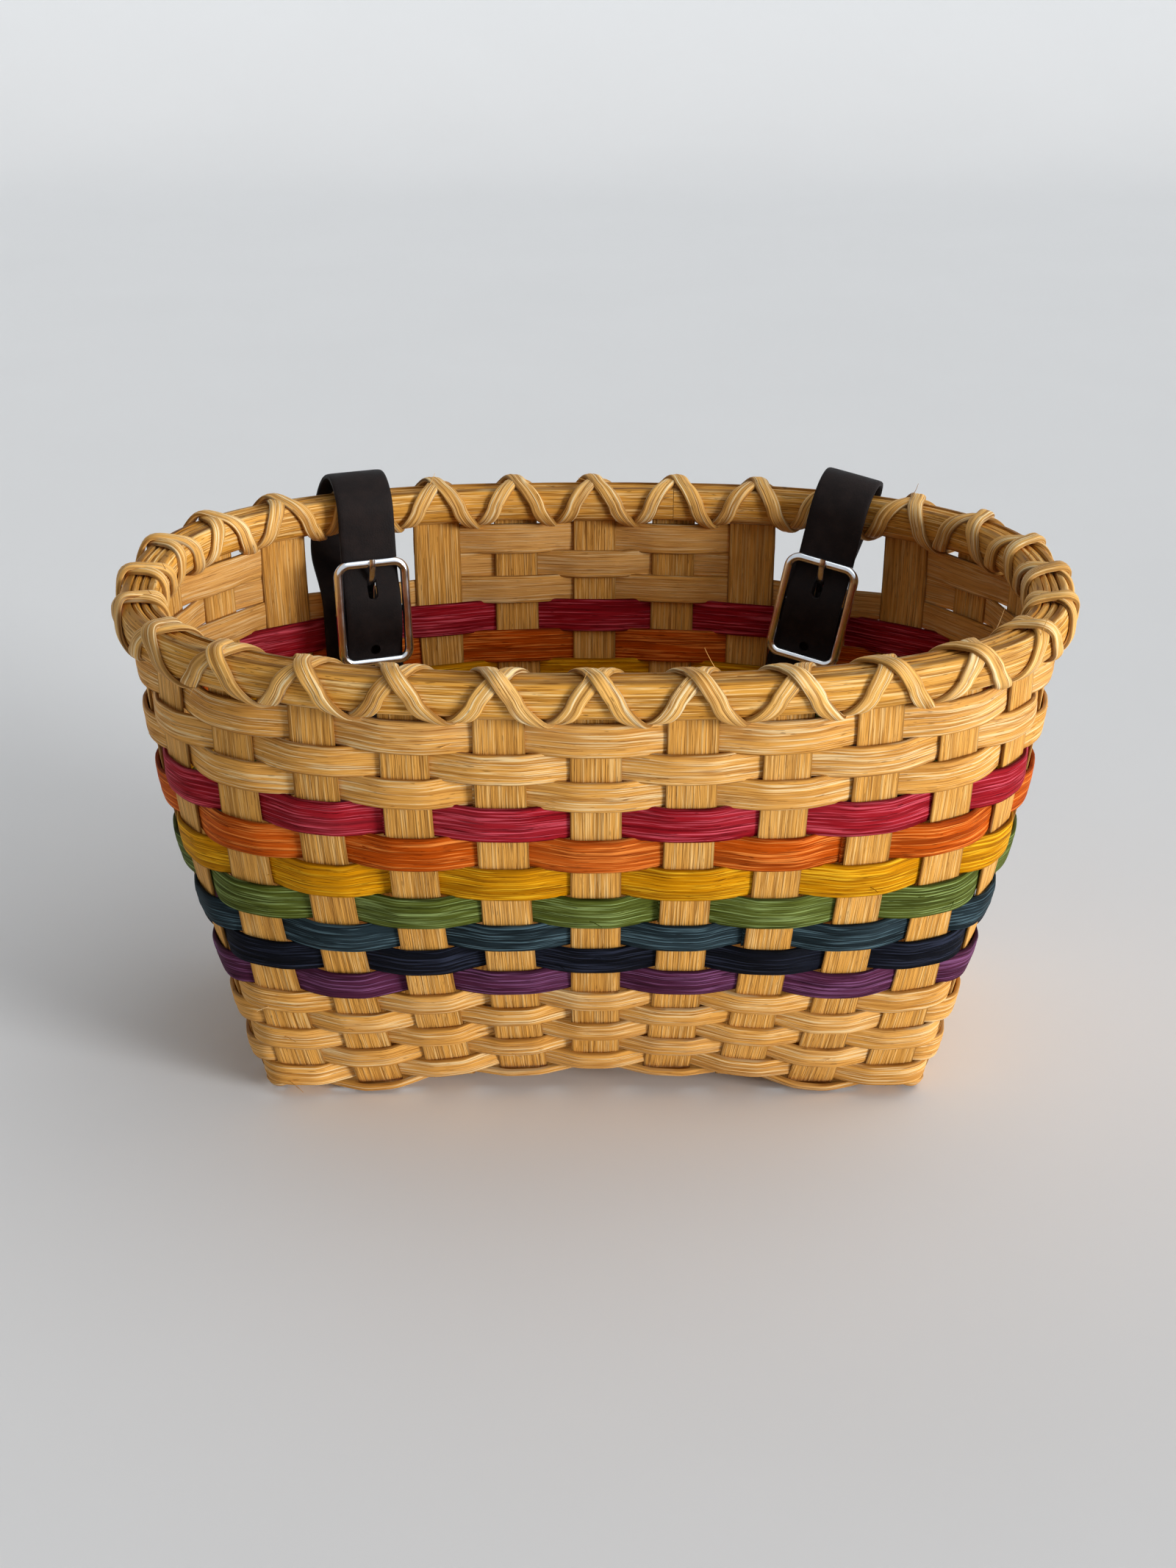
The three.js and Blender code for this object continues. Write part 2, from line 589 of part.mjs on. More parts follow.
// A side-view shape given its width along the rim, centred, with h turned to point into the basket
const sideView = new THREE.Matrix4().makeBasis(vec(0, -1, 0), vec(0, 0, 1), vec(-1, 0, 0));
function fromSideView(shape, width) {
  const geometry = new THREE.ExtrudeGeometry(shape, { depth: width, bevelEnabled: false, curveSegments: 8 });
  return geometry.translate(0, 0, -width / 2).applyMatrix4(sideView);
}
function block(h0, h1, z0, z1, width) {
  const geometry = new THREE.BoxGeometry(width, h1 - h0, z1 - z0);
  return geometry.translate(0, -(h0 + h1) / 2, (z0 + z1) / 2);
}
function roundBar(h0, h1, z, diameter) {
  const geometry = new THREE.CylinderGeometry(diameter / 2, diameter / 2, h1 - h0, 12);
  return geometry.translate(0, -(h0 + h1) / 2, z);
}
// Corner cut that points the strap's loose end
function tipCut(side) {
  const beyond = 1;
  const edge = side * (STRAP_WIDTH / 2 + beyond);
  const shape = new THREE.Shape([
    new THREE.Vector2(edge, tailEnd + STRAP_TIP_LENGTH),
    new THREE.Vector2(edge, tailEnd - beyond),
    new THREE.Vector2(side * STRAP_TIP_WIDTH / 2, tailEnd - beyond),
  ]);
  const geometry = new THREE.ExtrudeGeometry(shape, { depth: STRAP_WIDTH, bevelEnabled: false });
  return geometry.rotateX(Math.PI / 2).translate(0, -loopDepth - strapHalf - STRAP_GAP, 0);
}
const tongueSlot = TONGUE_WIDTH + 2 * SEAT_GAP;
const tongueBore = CENTRE_BAR / 2 + STRAP_GAP;
const tongueRing = tongueBore + TONGUE_RING_WALL;
const tongueHole = barMiddle + TONGUE_HOLE_RISE;

function strap() {
  let solid = toSolid(fromSideView(bandShape(strapPath(), STRAP_THICKNESS), STRAP_WIDTH));
  const foldBack = barDepth - foldRadius - STRAP_THICKNESS;
  const foldFront = barDepth + foldRadius + strapHalf + STRAP_GAP / 2;
  const foldTop = barMiddle + foldRadius + strapHalf + STRAP_GAP;
  const strapFront = bow + BUCKLE_BULGE + STRAP_THICKNESS;
  const ringReach = tongueRing + 2 * SEAT_GAP;
  const chapeFront = chapeDepth + strapHalf + STRAP_GAP;
  const cuts = [
    block(foldBack, foldFront, barMiddle - ringReach, foldTop, tongueSlot),
    block(foldFront, strapFront, tongueHole - TONGUE_SLOT_HALF, foldTop, tongueSlot),
    block(bow - STRAP_THICKNESS, strapFront, foldTop, tongueHole + TONGUE_SLOT_HALF, tongueSlot),
    roundBar(chapeFront + STRAP_GAP, strapFront, tongueHole - HOLE_PITCH, HOLE_DIAMETER),
    roundBar(bow + STRAP_THICKNESS, strapFront + STRAP_TAIL_LEAN, tongueHole - 2 * HOLE_PITCH, HOLE_DIAMETER),
    roundBar(foldEndDepth - strapHalf - STRAP_GAP, chapeFront, rivetLevel, RIVET_SHANK + 2 * STRAP_GAP),
    tipCut(-1),
    tipCut(1),
  ];
  for (const cut of cuts) {
    solid = solid.subtract(toSolid(cut));
  }
  return fromSolid(solid);
}

// Buckle: a rounded wire frame with a bent centre bar joined to its sides
const frameHalf = STRAP_WIDTH / 2 + BUCKLE_SIDE_GAP + BUCKLE_WIRE / 2;
const WIRE_SIDES = 8;
function wireRing(centre, first, second, diameter) {
  const ring = [];
  for (let i = 0; i < WIRE_SIDES; i += 1) {
    const angle = i / WIRE_SIDES * 2 * Math.PI;
    const reach = first.clone().multiplyScalar(Math.cos(angle)).addScaledVector(second, Math.sin(angle));
    ring.push(centre.clone().addScaledVector(reach, diameter / 2));
  }
  return ring;
}
function buckle() {
  const back = vec(0, 1, 0);
  const rise = vec(0, 0, 1);
  const rings = [];
  const cornerX = frameHalf - BUCKLE_CORNER;
  const cornerZ = BUCKLE_HALF_HEIGHT - BUCKLE_CORNER;
  const cornerSteps = 3;
  [[1, 1], [-1, 1], [-1, -1], [1, -1]].forEach(([x, z], turn) => {
    for (let i = 0; i <= cornerSteps; i += 1) {
      const angle = (turn + i / cornerSteps) * Math.PI / 2;
      const outward = vec(Math.cos(angle), 0, Math.sin(angle));
      const corner = vec(x * cornerX, -frameDepth, barMiddle + z * cornerZ);
      rings.push(wireRing(corner.addScaledVector(outward, BUCKLE_CORNER), outward, back, BUCKLE_WIRE));
    }
  });
  const barEnd = (x) => [
    wireRing(vec(x * frameHalf, -frameDepth, barMiddle), vec(-x, 0, 0), rise, CENTRE_BAR),
    wireRing(vec(x * frameHalf, -barDepth - BAR_BEND, barMiddle), vec(-x, 0, 0), rise, CENTRE_BAR),
    wireRing(vec(x * (frameHalf - BAR_BEND), -barDepth, barMiddle), vec(0, -1, 0), rise, CENTRE_BAR),
  ];
  const bar = sweep([...barEnd(-1), ...barEnd(1).reverse()], false);
  return fromSolid(toSolid(sweep(rings, true)).add(toSolid(bar)));
}

// Tongue: a ring on the centre bar with an arm that rests on the frame's upper bar
function tongue() {
  const rest = frameDepth + BUCKLE_WIRE / 2 + STRAP_GAP + TONGUE_THICKNESS / 2;
  const root = (tongueBore + TONGUE_RING_WALL / 2) * Math.SQRT1_2;
  const arm = [
    new THREE.Vector2(barDepth + root, barMiddle + root),
    new THREE.Vector2(rest, barTop - BUCKLE_WIRE / 2),
    new THREE.Vector2(rest, barTop + TONGUE_TIP),
  ];
  const circle = (radius) => new THREE.Shape().absarc(barDepth, barMiddle, radius, 0, 2 * Math.PI, false);
  const armSolid = toSolid(fromSideView(bandShape(arm, TONGUE_THICKNESS), TONGUE_WIDTH));
  const ring = toSolid(fromSideView(circle(tongueRing), TONGUE_WIDTH));
  const bore = toSolid(fromSideView(circle(tongueBore), 2 * TONGUE_WIDTH));
  return fromSolid(armSolid.add(ring).subtract(bore));
}

// Rivet that closes the strap's fold
function rivet() {
  const inner = foldEndDepth - strapHalf - STRAP_GAP / 2;
  const outer = chapeDepth + strapHalf + STRAP_GAP / 2;
  const crown = RIVET_HEAD / 2 - RIVET_CAP;
  const profile = [
    [0, inner - RIVET_CAP], [crown, inner - RIVET_CAP], [RIVET_HEAD / 2, inner], [RIVET_SHANK / 2, inner],
    [RIVET_SHANK / 2, outer], [RIVET_HEAD / 2, outer], [crown, outer + RIVET_CAP], [0, outer + RIVET_CAP],
  ];
  const geometry = new THREE.LatheGeometry(profile.map(([r, h]) => new THREE.Vector2(r, h)), 12);
  return geometry.rotateX(Math.PI).translate(0, 0, rivetLevel);
}

function addStrap(side, place, lean, shift) {
  const seat = rimPlace(place);
  const turned = new THREE.Group();
  turned.position.copy(seat.point);
  turned.rotation.z = Math.atan2(seat.out.y, seat.out.x) - Math.PI / 2;
  const hung = new THREE.Group();
  hung.position.x = shift;
  hung.rotation.set(-radians(STRAP_REST_SWING), radians(lean), 0);
  turned.add(hung);
  basket.add(turned);
  addPiece(hung, `${side}_strap`, strap(), COLOURS.leather, 0.5);
  addPiece(hung, `${side}_buckle`, buckle(), COLOURS.metal, 0.18, 1);
  addPiece(hung, `${side}_tongue`, tongue(), COLOURS.metal, 0.18, 1);
  addPiece(hung, `${side}_rivet`, rivet(), COLOURS.metal, 0.25, 1);
}
addStrap('left', LEFT_SLOT, 0, 0);
addStrap('right', RIGHT_SLOT, RIGHT_STRAP_LEAN, RIGHT_STRAP_SHIFT);

export default basket;
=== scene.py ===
"""Woven bicycle basket: reed stakes and dyed rows, a lashed rim and two leather straps with buckles."""

import json
import math

import bmesh
import bpy
import numpy as np
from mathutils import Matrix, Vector


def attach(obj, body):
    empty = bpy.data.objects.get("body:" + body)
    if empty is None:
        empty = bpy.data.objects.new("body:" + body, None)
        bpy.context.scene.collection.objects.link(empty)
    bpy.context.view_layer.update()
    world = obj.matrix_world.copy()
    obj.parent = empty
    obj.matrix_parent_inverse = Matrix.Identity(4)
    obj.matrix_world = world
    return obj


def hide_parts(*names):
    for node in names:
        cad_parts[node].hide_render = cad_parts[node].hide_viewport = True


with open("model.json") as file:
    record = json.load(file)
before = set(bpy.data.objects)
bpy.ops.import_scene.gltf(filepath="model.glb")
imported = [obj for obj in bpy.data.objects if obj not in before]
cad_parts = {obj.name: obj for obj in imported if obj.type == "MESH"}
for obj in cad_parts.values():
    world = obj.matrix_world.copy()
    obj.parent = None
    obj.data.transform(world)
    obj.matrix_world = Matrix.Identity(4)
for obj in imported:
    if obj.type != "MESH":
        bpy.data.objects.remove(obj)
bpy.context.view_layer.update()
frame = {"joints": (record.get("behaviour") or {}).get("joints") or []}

MM = 0.001
UP = np.array([0, 0, 1.0])

# Basket sizes in millimetres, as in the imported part; a place is one stake's share of the way round
STAKES = 28
SIDE_PLACES = STAKES // 4
CROSS_STAKES, LONG_STAKES = 9, 5
CROSS_PITCH, LONG_PITCH = 29.3, 26.0
STAKE_WIDTH, STAKE_THICKNESS = 19.0, 1.5
BASE_HALF_LENGTH, BASE_HALF_DEPTH, BASE_CORNER = 135.2, 69.0, 9.0
BASE_ARCH, BASE_WEAVE, BASE_LEVEL = 8.0, 1.05, 1.75
ARCH_TO_END, ARCH_TO_SIDE = (0.15, 0.8), (0.0, 0.6)
EDGE_INSET, EDGE_RISE = 5.0, 6.0
RIM_HALF_LENGTH, RIM_HALF_DEPTH, RIM_POWER = 181.5, 119.7, 2.5
WALL_START, RIM_LEVEL, STAKE_TOP, SLOT_LEVEL = 15.75, 195.95, 199.55, 161.65
RIM_HEIGHT, HOOP_SEAT, HOOP_THICKNESS = 14.4, 3.4, 5.0
RIGHT_SLOT, LEFT_SLOT, BACK_CENTRE = 11, 17, 14
WEAVER_THICKNESS, WEAVER_BACK_SHARE = 2.2, 0.5
LASH_WIDTH, LASH_THICKNESS, LASH_BACK_SHARE = 6.8, 2.3, 0.6

# Rows from the base up: name, pitch and colour
ROW_PLAN = (
    [(f"natural_weaver_{i}", 9.2, "natural") for i in range(2, 7)]
    + [(f"{c}_weaver", 11.7, c) for c in ("purple", "navy", "blue")]
    + [(f"{c}_weaver", 13.4, c) for c in ("green", "yellow", "orange", "red")]
    + [(f"natural_weaver_{i}", 11.2, "natural") for i in range(7, 10)]
)


# Lines and directions
def unit(vectors):
    return vectors / np.linalg.norm(vectors, axis=-1, keepdims=True)


def smoothstep(x, low=0.0, high=1.0):
    t = np.clip((np.asarray(x, float) - low) / (high - low), 0, 1)
    return t * t * (3 - 2 * t)


def bent(wave, power):
    """A sine or cosine raised to a power, with its sign kept."""
    return np.sign(wave) * np.abs(wave) ** power


def polyline_walk(points):
    """Running length along a line of points."""
    steps = np.linalg.norm(np.diff(points, axis=0), axis=1)
    return np.concatenate([[0], np.cumsum(steps)])


def walked(line, walk, distance):
    """Points of a flat line at the given distances along it."""
    return np.stack([np.interp(distance, walk, line[:, i]) for i in (0, 1)], -1)


def travel_along(points):
    return unit(np.gradient(points, axis=0))


def squared(directions, travel):
    """Directions turned square to the travel."""
    return unit(directions - travel * np.sum(directions * travel, 1, keepdims=True))


def arced(centre, radius, first, last, steps=20):
    """Points of an arc between two angles in degrees, without its first point."""
    angles = np.radians(np.linspace(first, last, steps + 1)[1:])
    return [(centre[0] + radius * math.cos(a), centre[1] + radius * math.sin(a)) for a in angles]


def box_line(half_x, half_y, radius, steps):
    """Points round a box with round corners, from the corner at +x and -y, turning left."""
    points = []
    for turn, (x, y) in enumerate([(1, -1), (1, 1), (-1, 1), (-1, -1)]):
        centre_x, centre_y = x * (half_x - radius), y * (half_y - radius)
        for a in np.linspace(turn - 1, turn, steps + 1) * np.pi / 2:
            points.append((centre_x + radius * math.cos(a), centre_y + radius * math.sin(a)))
    return points


# Wall of the basket: rim line, base line and the surface between them
RIM_STEPS, CORNER_STEPS = 8000, 24
PLACE_STEP, RIM_PLACE_STEP, HEIGHT_STEP = 0.05, 0.02, 0.01


def rim_line():
    angle = np.linspace(-0.25, 0.75, RIM_STEPS + 1) * 2 * np.pi
    x = RIM_HALF_LENGTH * bent(np.cos(angle), 2 / RIM_POWER)
    y = RIM_HALF_DEPTH * bent(np.sin(angle), 2 / RIM_POWER)
    return np.stack([x, y], 1)


def base_line():
    front_middle = (0, -BASE_HALF_DEPTH)
    corners = box_line(BASE_HALF_LENGTH, BASE_HALF_DEPTH, BASE_CORNER, CORNER_STEPS)
    return np.array([front_middle, *corners, front_middle])


RIM_POINTS = rim_line()
RIM_WALK = polyline_walk(RIM_POINTS)
BASE_POINTS = base_line()
BASE_WALK = polyline_walk(BASE_POINTS)
QUARTER = BASE_WALK[-1] / 4


def place_of(k):
    """Way along the base line to place k: nine places at the front and the back, five at each end."""
    for side in range(5):
        pitch, count = (LONG_PITCH, LONG_STAKES) if side % 2 else (CROSS_PITCH, CROSS_STAKES)
        steps = k - side * SIDE_PLACES
        if abs(steps) <= count // 2:
            return side * QUARTER + steps * pitch


PLACE_MARKS = np.array([place_of(k) for k in range(STAKES + 1)])


def rim_point(u):
    return walked(RIM_POINTS, RIM_WALK, np.mod(u / STAKES, 1) * RIM_WALK[-1])


def base_point(u):
    way = np.interp(np.mod(u, STAKES), np.arange(STAKES + 1), PLACE_MARKS)
    return walked(BASE_POINTS, BASE_WALK, way)


def arch_height(x, y):
    """Rise of the base above its four feet."""
    to_end = smoothstep(np.abs(x) / BASE_HALF_LENGTH, *ARCH_TO_END)
    to_side = smoothstep(np.abs(y) / BASE_HALF_DEPTH, *ARCH_TO_SIDE)
    return BASE_ARCH * (1 - to_end * to_side)


def wall_share(level):
    return (level - WALL_START) / (RIM_LEVEL - WALL_START)


def wall_point(u, v):
    foot, top = base_point(u), rim_point(u)
    spread = (1 - np.maximum(0, 1 - v) ** 2)[..., None]
    start = BASE_LEVEL + arch_height(foot[..., 0], foot[..., 1]) + EDGE_RISE
    level = start + (RIM_LEVEL - start) * v
    return np.concatenate([foot + (top - foot) * spread, level[..., None]], -1)


def wall_frame(u, v):
    """Middle of the wall at place u and height share v, with its along, up and out directions."""
    u, v = np.broadcast_arrays(np.asarray(u, float), np.asarray(v, float))
    along = unit(wall_point(u + PLACE_STEP, v) - wall_point(u - PLACE_STEP, v))
    up = unit(wall_point(u, v + HEIGHT_STEP) - wall_point(u, v - HEIGHT_STEP))
    out = unit(np.cross(along, up))
    return wall_point(u, v), np.cross(up, out), up, out


def bevel_frame(u, share):
    """The same for the bevel between the base and the wall, at a share of its rise."""
    point, _, _, out = wall_frame(u, 0.0)
    inward = unit(np.stack([-out[:, 0], -out[:, 1], np.zeros(len(u))], 1))
    foot = point + inward * EDGE_INSET - EDGE_RISE * UP
    up = unit(point - foot)
    along = unit(np.cross(inward, UP))
    return foot + (point - foot) * share, along, up, unit(np.cross(along, up))


def rim_frames(u):
    """Middle of the rim at place u, with its out direction."""
    point = np.concatenate([rim_point(u), np.full((len(u), 1), RIM_LEVEL)], 1)
    travel = unit(rim_point(u + RIM_PLACE_STEP) - rim_point(u - RIM_PLACE_STEP))
    return point, np.stack([travel[:, 1], -travel[:, 0], np.zeros(len(u))], 1)


# Nodes: one method adds any node, and values take arithmetic
class Value:
    """A socket that takes arithmetic: each sign adds a Math node to its tree."""

    def __init__(self, bench, socket):
        self.bench = bench
        self.socket = socket

    def output(self, name):
        """Another output of the same node."""
        return Value(self.bench, self.socket.node.outputs[name])

    def __add__(self, other):
        return self.bench.math("ADD", self, other)

    def __radd__(self, other):
        return self.bench.math("ADD", other, self)

    def __sub__(self, other):
        return self.bench.math("SUBTRACT", self, other)

    def __rsub__(self, other):
        return self.bench.math("SUBTRACT", other, self)

    def __mul__(self, other):
        return self.bench.math("MULTIPLY", self, other)

    def __rmul__(self, other):
        return self.bench.math("MULTIPLY", other, self)

    def __gt__(self, other):
        return self.bench.math("GREATER_THAN", self, other)


class Bench:
    """Adds nodes to one tree."""

    def __init__(self, tree):
        self.tree = tree

    def node(self, kind, settings=None, inputs=None, output=0):
        made = self.tree.nodes.new(kind)
        for key, value in (settings or {}).items():
            setattr(made, key, value)
        for key, value in (inputs or {}).items():
            if isinstance(value, Value):
                self.tree.links.new(value.socket, made.inputs[key])
            else:
                made.inputs[key].default_value = value
        return Value(self, made.outputs[output]) if made.outputs else None

    def math(self, operation, first, second):
        return self.node("ShaderNodeMath", {"operation": operation}, {0: first, 1: second})

    def vector(self, operation, first, second):
        return self.node("ShaderNodeVectorMath", {"operation": operation}, {0: first, 1: second})

    def scaled(self, vector, factor):
        return self.node("ShaderNodeVectorMath", {"operation": "SCALE"}, {0: vector, "Scale": factor})

    def joined(self, x, y, z=0.0):
        return self.node("ShaderNodeCombineXYZ", {}, {0: x, 1: y, 2: z})

    def mixed(self, factor, first, second):
        return self.node("ShaderNodeMix", {"data_type": "RGBA"}, {0: factor, 6: first, 7: second}, 2)

    def noise(self, vector, scale=1.0, detail=2.0, roughness=0.5):
        inputs = {"Vector": vector, "Scale": scale, "Detail": detail, "Roughness": roughness}
        return self.node("ShaderNodeTexNoise", {}, inputs)

    def ranged(self, value, low, high, to_low=0.0, to_high=1.0):
        inputs = {0: value, 1: low, 2: high, 3: to_low, 4: to_high}
        return self.node("ShaderNodeMapRange", {"interpolation_type": "SMOOTHSTEP"}, inputs)

    def bump(self, height, strength, distance):
        inputs = {"Strength": strength, "Distance": distance, "Height": height}
        return self.node("ShaderNodeBump", {}, inputs)


# Geometry nodes: a section swept along a path, with ridges on its front and a slow wander
STRIP_SOCKETS = {
    "Path": "Geometry", "Section": "Object", "Half Width": "Float", "Half Thickness": "Float",
    "Ridges": "Float", "Ridge Depth": "Float", "Wander": "Float", "Seed": "Float", "Finish": "Material",
}
PATH_VECTORS = ("centre", "across", "face")
PATH_NUMBERS = ("width_share", "depth_share", "run")
FRONT_SHARE = 0.02
RIDGE_WAVES, WANDER_WAVES = 9.0, 22.0


def strip_tree():
    """The tree, and the identifiers of its inputs by name."""
    tree = bpy.data.node_groups.new("strip along a path", "GeometryNodeTree")
    tree.interface.new_socket("Geometry", in_out="OUTPUT", socket_type="NodeSocketGeometry")
    identifiers = {}
    for name, kind in STRIP_SOCKETS.items():
        socket = tree.interface.new_socket(name, in_out="INPUT", socket_type=f"NodeSocket{kind}")
        identifiers[name] = socket.identifier
    bench = Bench(tree)
    entry = bench.node("NodeGroupInput")
    given = {name: entry.output(name) for name in STRIP_SOCKETS}

    def named(name, kind="FLOAT_VECTOR"):
        return bench.node("GeometryNodeInputNamedAttribute", {"data_type": kind}, {"Name": name})

    def stored(geometry, name, value, kind="FLOAT_VECTOR"):
        settings = {"data_type": kind, "domain": "POINT"}
        inputs = {0: geometry, "Name": name, "Value": value}
        return bench.node("GeometryNodeStoreNamedAttribute", settings, inputs)

    section = bench.node("GeometryNodeObjectInfo", {}, {"Object": given["Section"]}, "Geometry")
    outline = bench.node("GeometryNodeMeshToCurve", {}, {0: section})
    outline = stored(outline, "section", bench.node("GeometryNodeInputPosition"))
    path = bench.node("GeometryNodeMeshToCurve", {}, {0: given["Path"]})
    strip = bench.node("GeometryNodeCurveToMesh", {}, {0: path, 1: outline, "Fill Caps": True})

    on_section = bench.node("ShaderNodeSeparateXYZ", {}, {0: named("section")})
    across_share, depth_share = on_section.output("X"), on_section.output("Y")
    edge_share = across_share * across_share
    run, thinning = named("run", "FLOAT"), named("depth_share", "FLOAT")
    furrow = bench.joined(across_share * given["Ridges"], run * RIDGE_WAVES, given["Seed"])
    wave = bench.noise(furrow, detail=0.0) - 0.5
    on_front = depth_share > FRONT_SHARE
    ridge = wave * given["Ridge Depth"] * on_front * (1 - edge_share) * thinning
    wander_place = bench.joined(run * WANDER_WAVES, given["Seed"])
    wander = bench.node("ShaderNodeTexNoise", {"noise_dimensions": "2D"},
                        {"Vector": wander_place, "Scale": 1.0, "Detail": 1.0}, "Color")
    wander = bench.scaled(bench.vector("SUBTRACT", wander, (0.5, 0.5, 0.5)), given["Wander"])
    sideways = across_share * (given["Half Width"] * named("width_share", "FLOAT"))
    side = bench.scaled(named("across"), sideways)
    depth = bench.scaled(named("face"), depth_share * (given["Half Thickness"] * thinning) + ridge)
    place = bench.vector("ADD", named("centre"), side)
    place = bench.vector("ADD", place, bench.vector("ADD", depth, wander))
    strip = bench.node("GeometryNodeSetPosition", {}, {0: strip, "Position": place})
    strip = stored(strip, "reed", bench.joined(run, sideways, given["Seed"]))
    strip = stored(strip, "crown", depth_share, "FLOAT")
    strip = stored(strip, "edge", edge_share, "FLOAT")
    strip = bench.node("GeometryNodeRealizeInstances", {}, {0: strip})
    strip = bench.node("GeometryNodeSetMaterial", {}, {0: strip, "Material": given["Finish"]})
    bench.node("NodeGroupOutput", {}, {0: strip})
    return tree, identifiers


STRIP_TREE, STRIP_INPUTS = strip_tree()


# Objects and meshes
def new_object(name, data):
    made = bpy.data.objects.new(name, data)
    bpy.context.scene.collection.objects.link(made)
    return made


def mesh_object(name, points, edges=(), faces=()):
    mesh = bpy.data.meshes.new(name)
    mesh.from_pydata([tuple(p) for p in points], edges, faces)
    return new_object(name, mesh)


def line_object(name, chains):
    """Loose object of joined points; each chain is (points, closed)."""
    edges, first = [], 0
    for chain, closed in chains:
        last = first + len(chain) - 1
        edges += [(i, i + 1) for i in range(first, last)]
        if closed:
            edges.append((last, first))
        first = last + 1
    return mesh_object(name, np.concatenate([chain for chain, _ in chains]), edges)


def arc_section(front, back):
    """Outline of a strip with its edges at x -1 and 1; a half is its height, steps, edge and crown power."""
    def half(height, steps, edge_power, crown_power):
        angle = np.linspace(0, np.pi, steps + 1)[:-1]
        crown = height * bent(np.sin(angle), crown_power)
        return np.stack([bent(np.cos(angle), edge_power), crown, np.zeros(steps)], 1)
    return np.concatenate([half(*front), [-1, -1, 1] * half(*back)])


def section_object(name, front, back):
    made = line_object(name, [(arc_section(front, back), True)])
    made.hide_render = True
    return made


# Sections of the strips: the front half, then the back half
SECTION_HALVES = {
    "weaver": ((1, 24, 0.8, 0.45), (WEAVER_BACK_SHARE, 12, 0.8, 0.55)),
    "stake": ((1, 16, 0.75, 0.3), (1, 8, 0.6, 0.3)),
    "hoop": ((1, 26, 0.85, 0.75), (0.06, 6, 0.6, 0.3)),
    "lashing": ((1, 18, 0.9, 0.7), (LASH_BACK_SHARE, 6, 0.7, 0.5)),
    "round": ((1, 8, 1, 1), (1, 8, 1, 1)),
    "band": ((1, 10, 0.18, 0.5), (1, 10, 0.18, 0.5)),
}
SECTIONS = {name: section_object(f"{name} section", *halves) for name, halves in SECTION_HALVES.items()}
SHARP_ANGLE = 45.0


def turned_frames(centre, face, closed=False):
    """Across and face directions square to a path's travel."""
    if closed:
        travel = unit(np.roll(centre, -1, 0) - np.roll(centre, 1, 0))
    else:
        travel = travel_along(centre)
    face = squared(face, travel)
    return np.cross(face, travel), face


def strip_path(centre, across, face, width_share=1.0, depth_share=1.0, closed=False):
    n = len(centre)
    return {
        "centre": centre, "across": across, "face": face, "closed": closed, "run": polyline_walk(centre),
        "width_share": np.broadcast_to(width_share, n), "depth_share": np.broadcast_to(depth_share, n),
    }


def finish_mesh(obj):
    """Turns the evaluated object into a plain closed mesh with outward faces."""
    graph = bpy.context.evaluated_depsgraph_get()
    mesh = bpy.data.meshes.new_from_object(obj.evaluated_get(graph))
    obj.modifiers.clear()
    old, obj.data = obj.data, mesh
    bpy.data.meshes.remove(old)
    mesh.name = obj.name
    for name in (*PATH_VECTORS, *PATH_NUMBERS, "section"):
        if name in mesh.attributes:
            mesh.attributes.remove(mesh.attributes[name])
    shell = bmesh.new()
    shell.from_mesh(mesh)
    if shell.calc_volume(signed=True) < 0:
        mesh.flip_normals()
    shell.free()
    mesh.polygons.foreach_set("use_smooth", [True] * len(mesh.polygons))
    mesh.set_sharp_from_angle(angle=math.radians(SHARP_ANGLE))


def claim(obj, body, slot, node):
    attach(obj, body)
    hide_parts(node)


def swept(name, paths, section, half_width, half_thickness, finish,
          seed=0.0, ridges=0.0, ridge_depth=0.0, wander=0.0):
    """A piece made of strips along paths given in millimetres."""
    obj = line_object(name, [(path["centre"] * MM, path["closed"]) for path in paths])
    for key in PATH_VECTORS:
        values = np.concatenate([path[key] for path in paths]) * (MM if key == "centre" else 1.0)
        obj.data.attributes.new(key, "FLOAT_VECTOR", "POINT").data.foreach_set("vector", values.ravel())
    for key in PATH_NUMBERS:
        values = np.concatenate([path[key] for path in paths]) * (MM if key == "run" else 1.0)
        obj.data.attributes.new(key, "FLOAT", "POINT").data.foreach_set("value", values)
    sweep = obj.modifiers.new("strip", "NODES")
    sweep.node_group = STRIP_TREE
    settings = {
        "Section": SECTIONS[section], "Half Width": half_width * MM, "Half Thickness": half_thickness * MM,
        "Ridges": ridges, "Ridge Depth": ridge_depth * MM, "Wander": wander * MM, "Seed": seed,
        "Finish": finish,
    }
    for key, value in settings.items():
        sweep[STRIP_INPUTS[key]] = value
    finish_mesh(obj)
    return obj


# Finishes
def srgb(red, green, blue):
    def linear(level):
        share = level / 255
        return share / 12.92 if share <= 0.04045 else ((share + 0.055) / 1.055) ** 2.4
    return (linear(red), linear(green), linear(blue), 1.0)


def new_finish(name):
    material = bpy.data.materials.new(name)
    material.use_nodes = True
    material.node_tree.nodes.clear()
    return material, Bench(material.node_tree)


def close_finish(bench, inputs):
    shader = bench.node("ShaderNodeBsdfPrincipled", {}, inputs)
    bench.node("ShaderNodeOutputMaterial", {}, {"Surface": shader})


# Grain of reed: waves per metre along and across the strip, detail, and a shift that keeps them apart
GRAINS = {
    "broad": (15, 640, 2.0, 0.0),
    "fine": (32, 1400, 2.0, 5.0),
    "hair": (55, 2700, 1.0, 11.0),
    "patch": (13, 45, 2.0, 17.0),
    "flecks": (170, 1500, 1.0, 23.0),
}
GRAIN_ROUGHNESS, GRAIN_SEED_WAVES = 0.6, 3.7
DEEPEST_SHARE = 0.4
REED_BACK = (222, 168, 100)
REED_BUMP, REED_BUMP_DEPTH = 0.7, 0.0007
REED_ROUGHNESS = (0.52, 0.7)


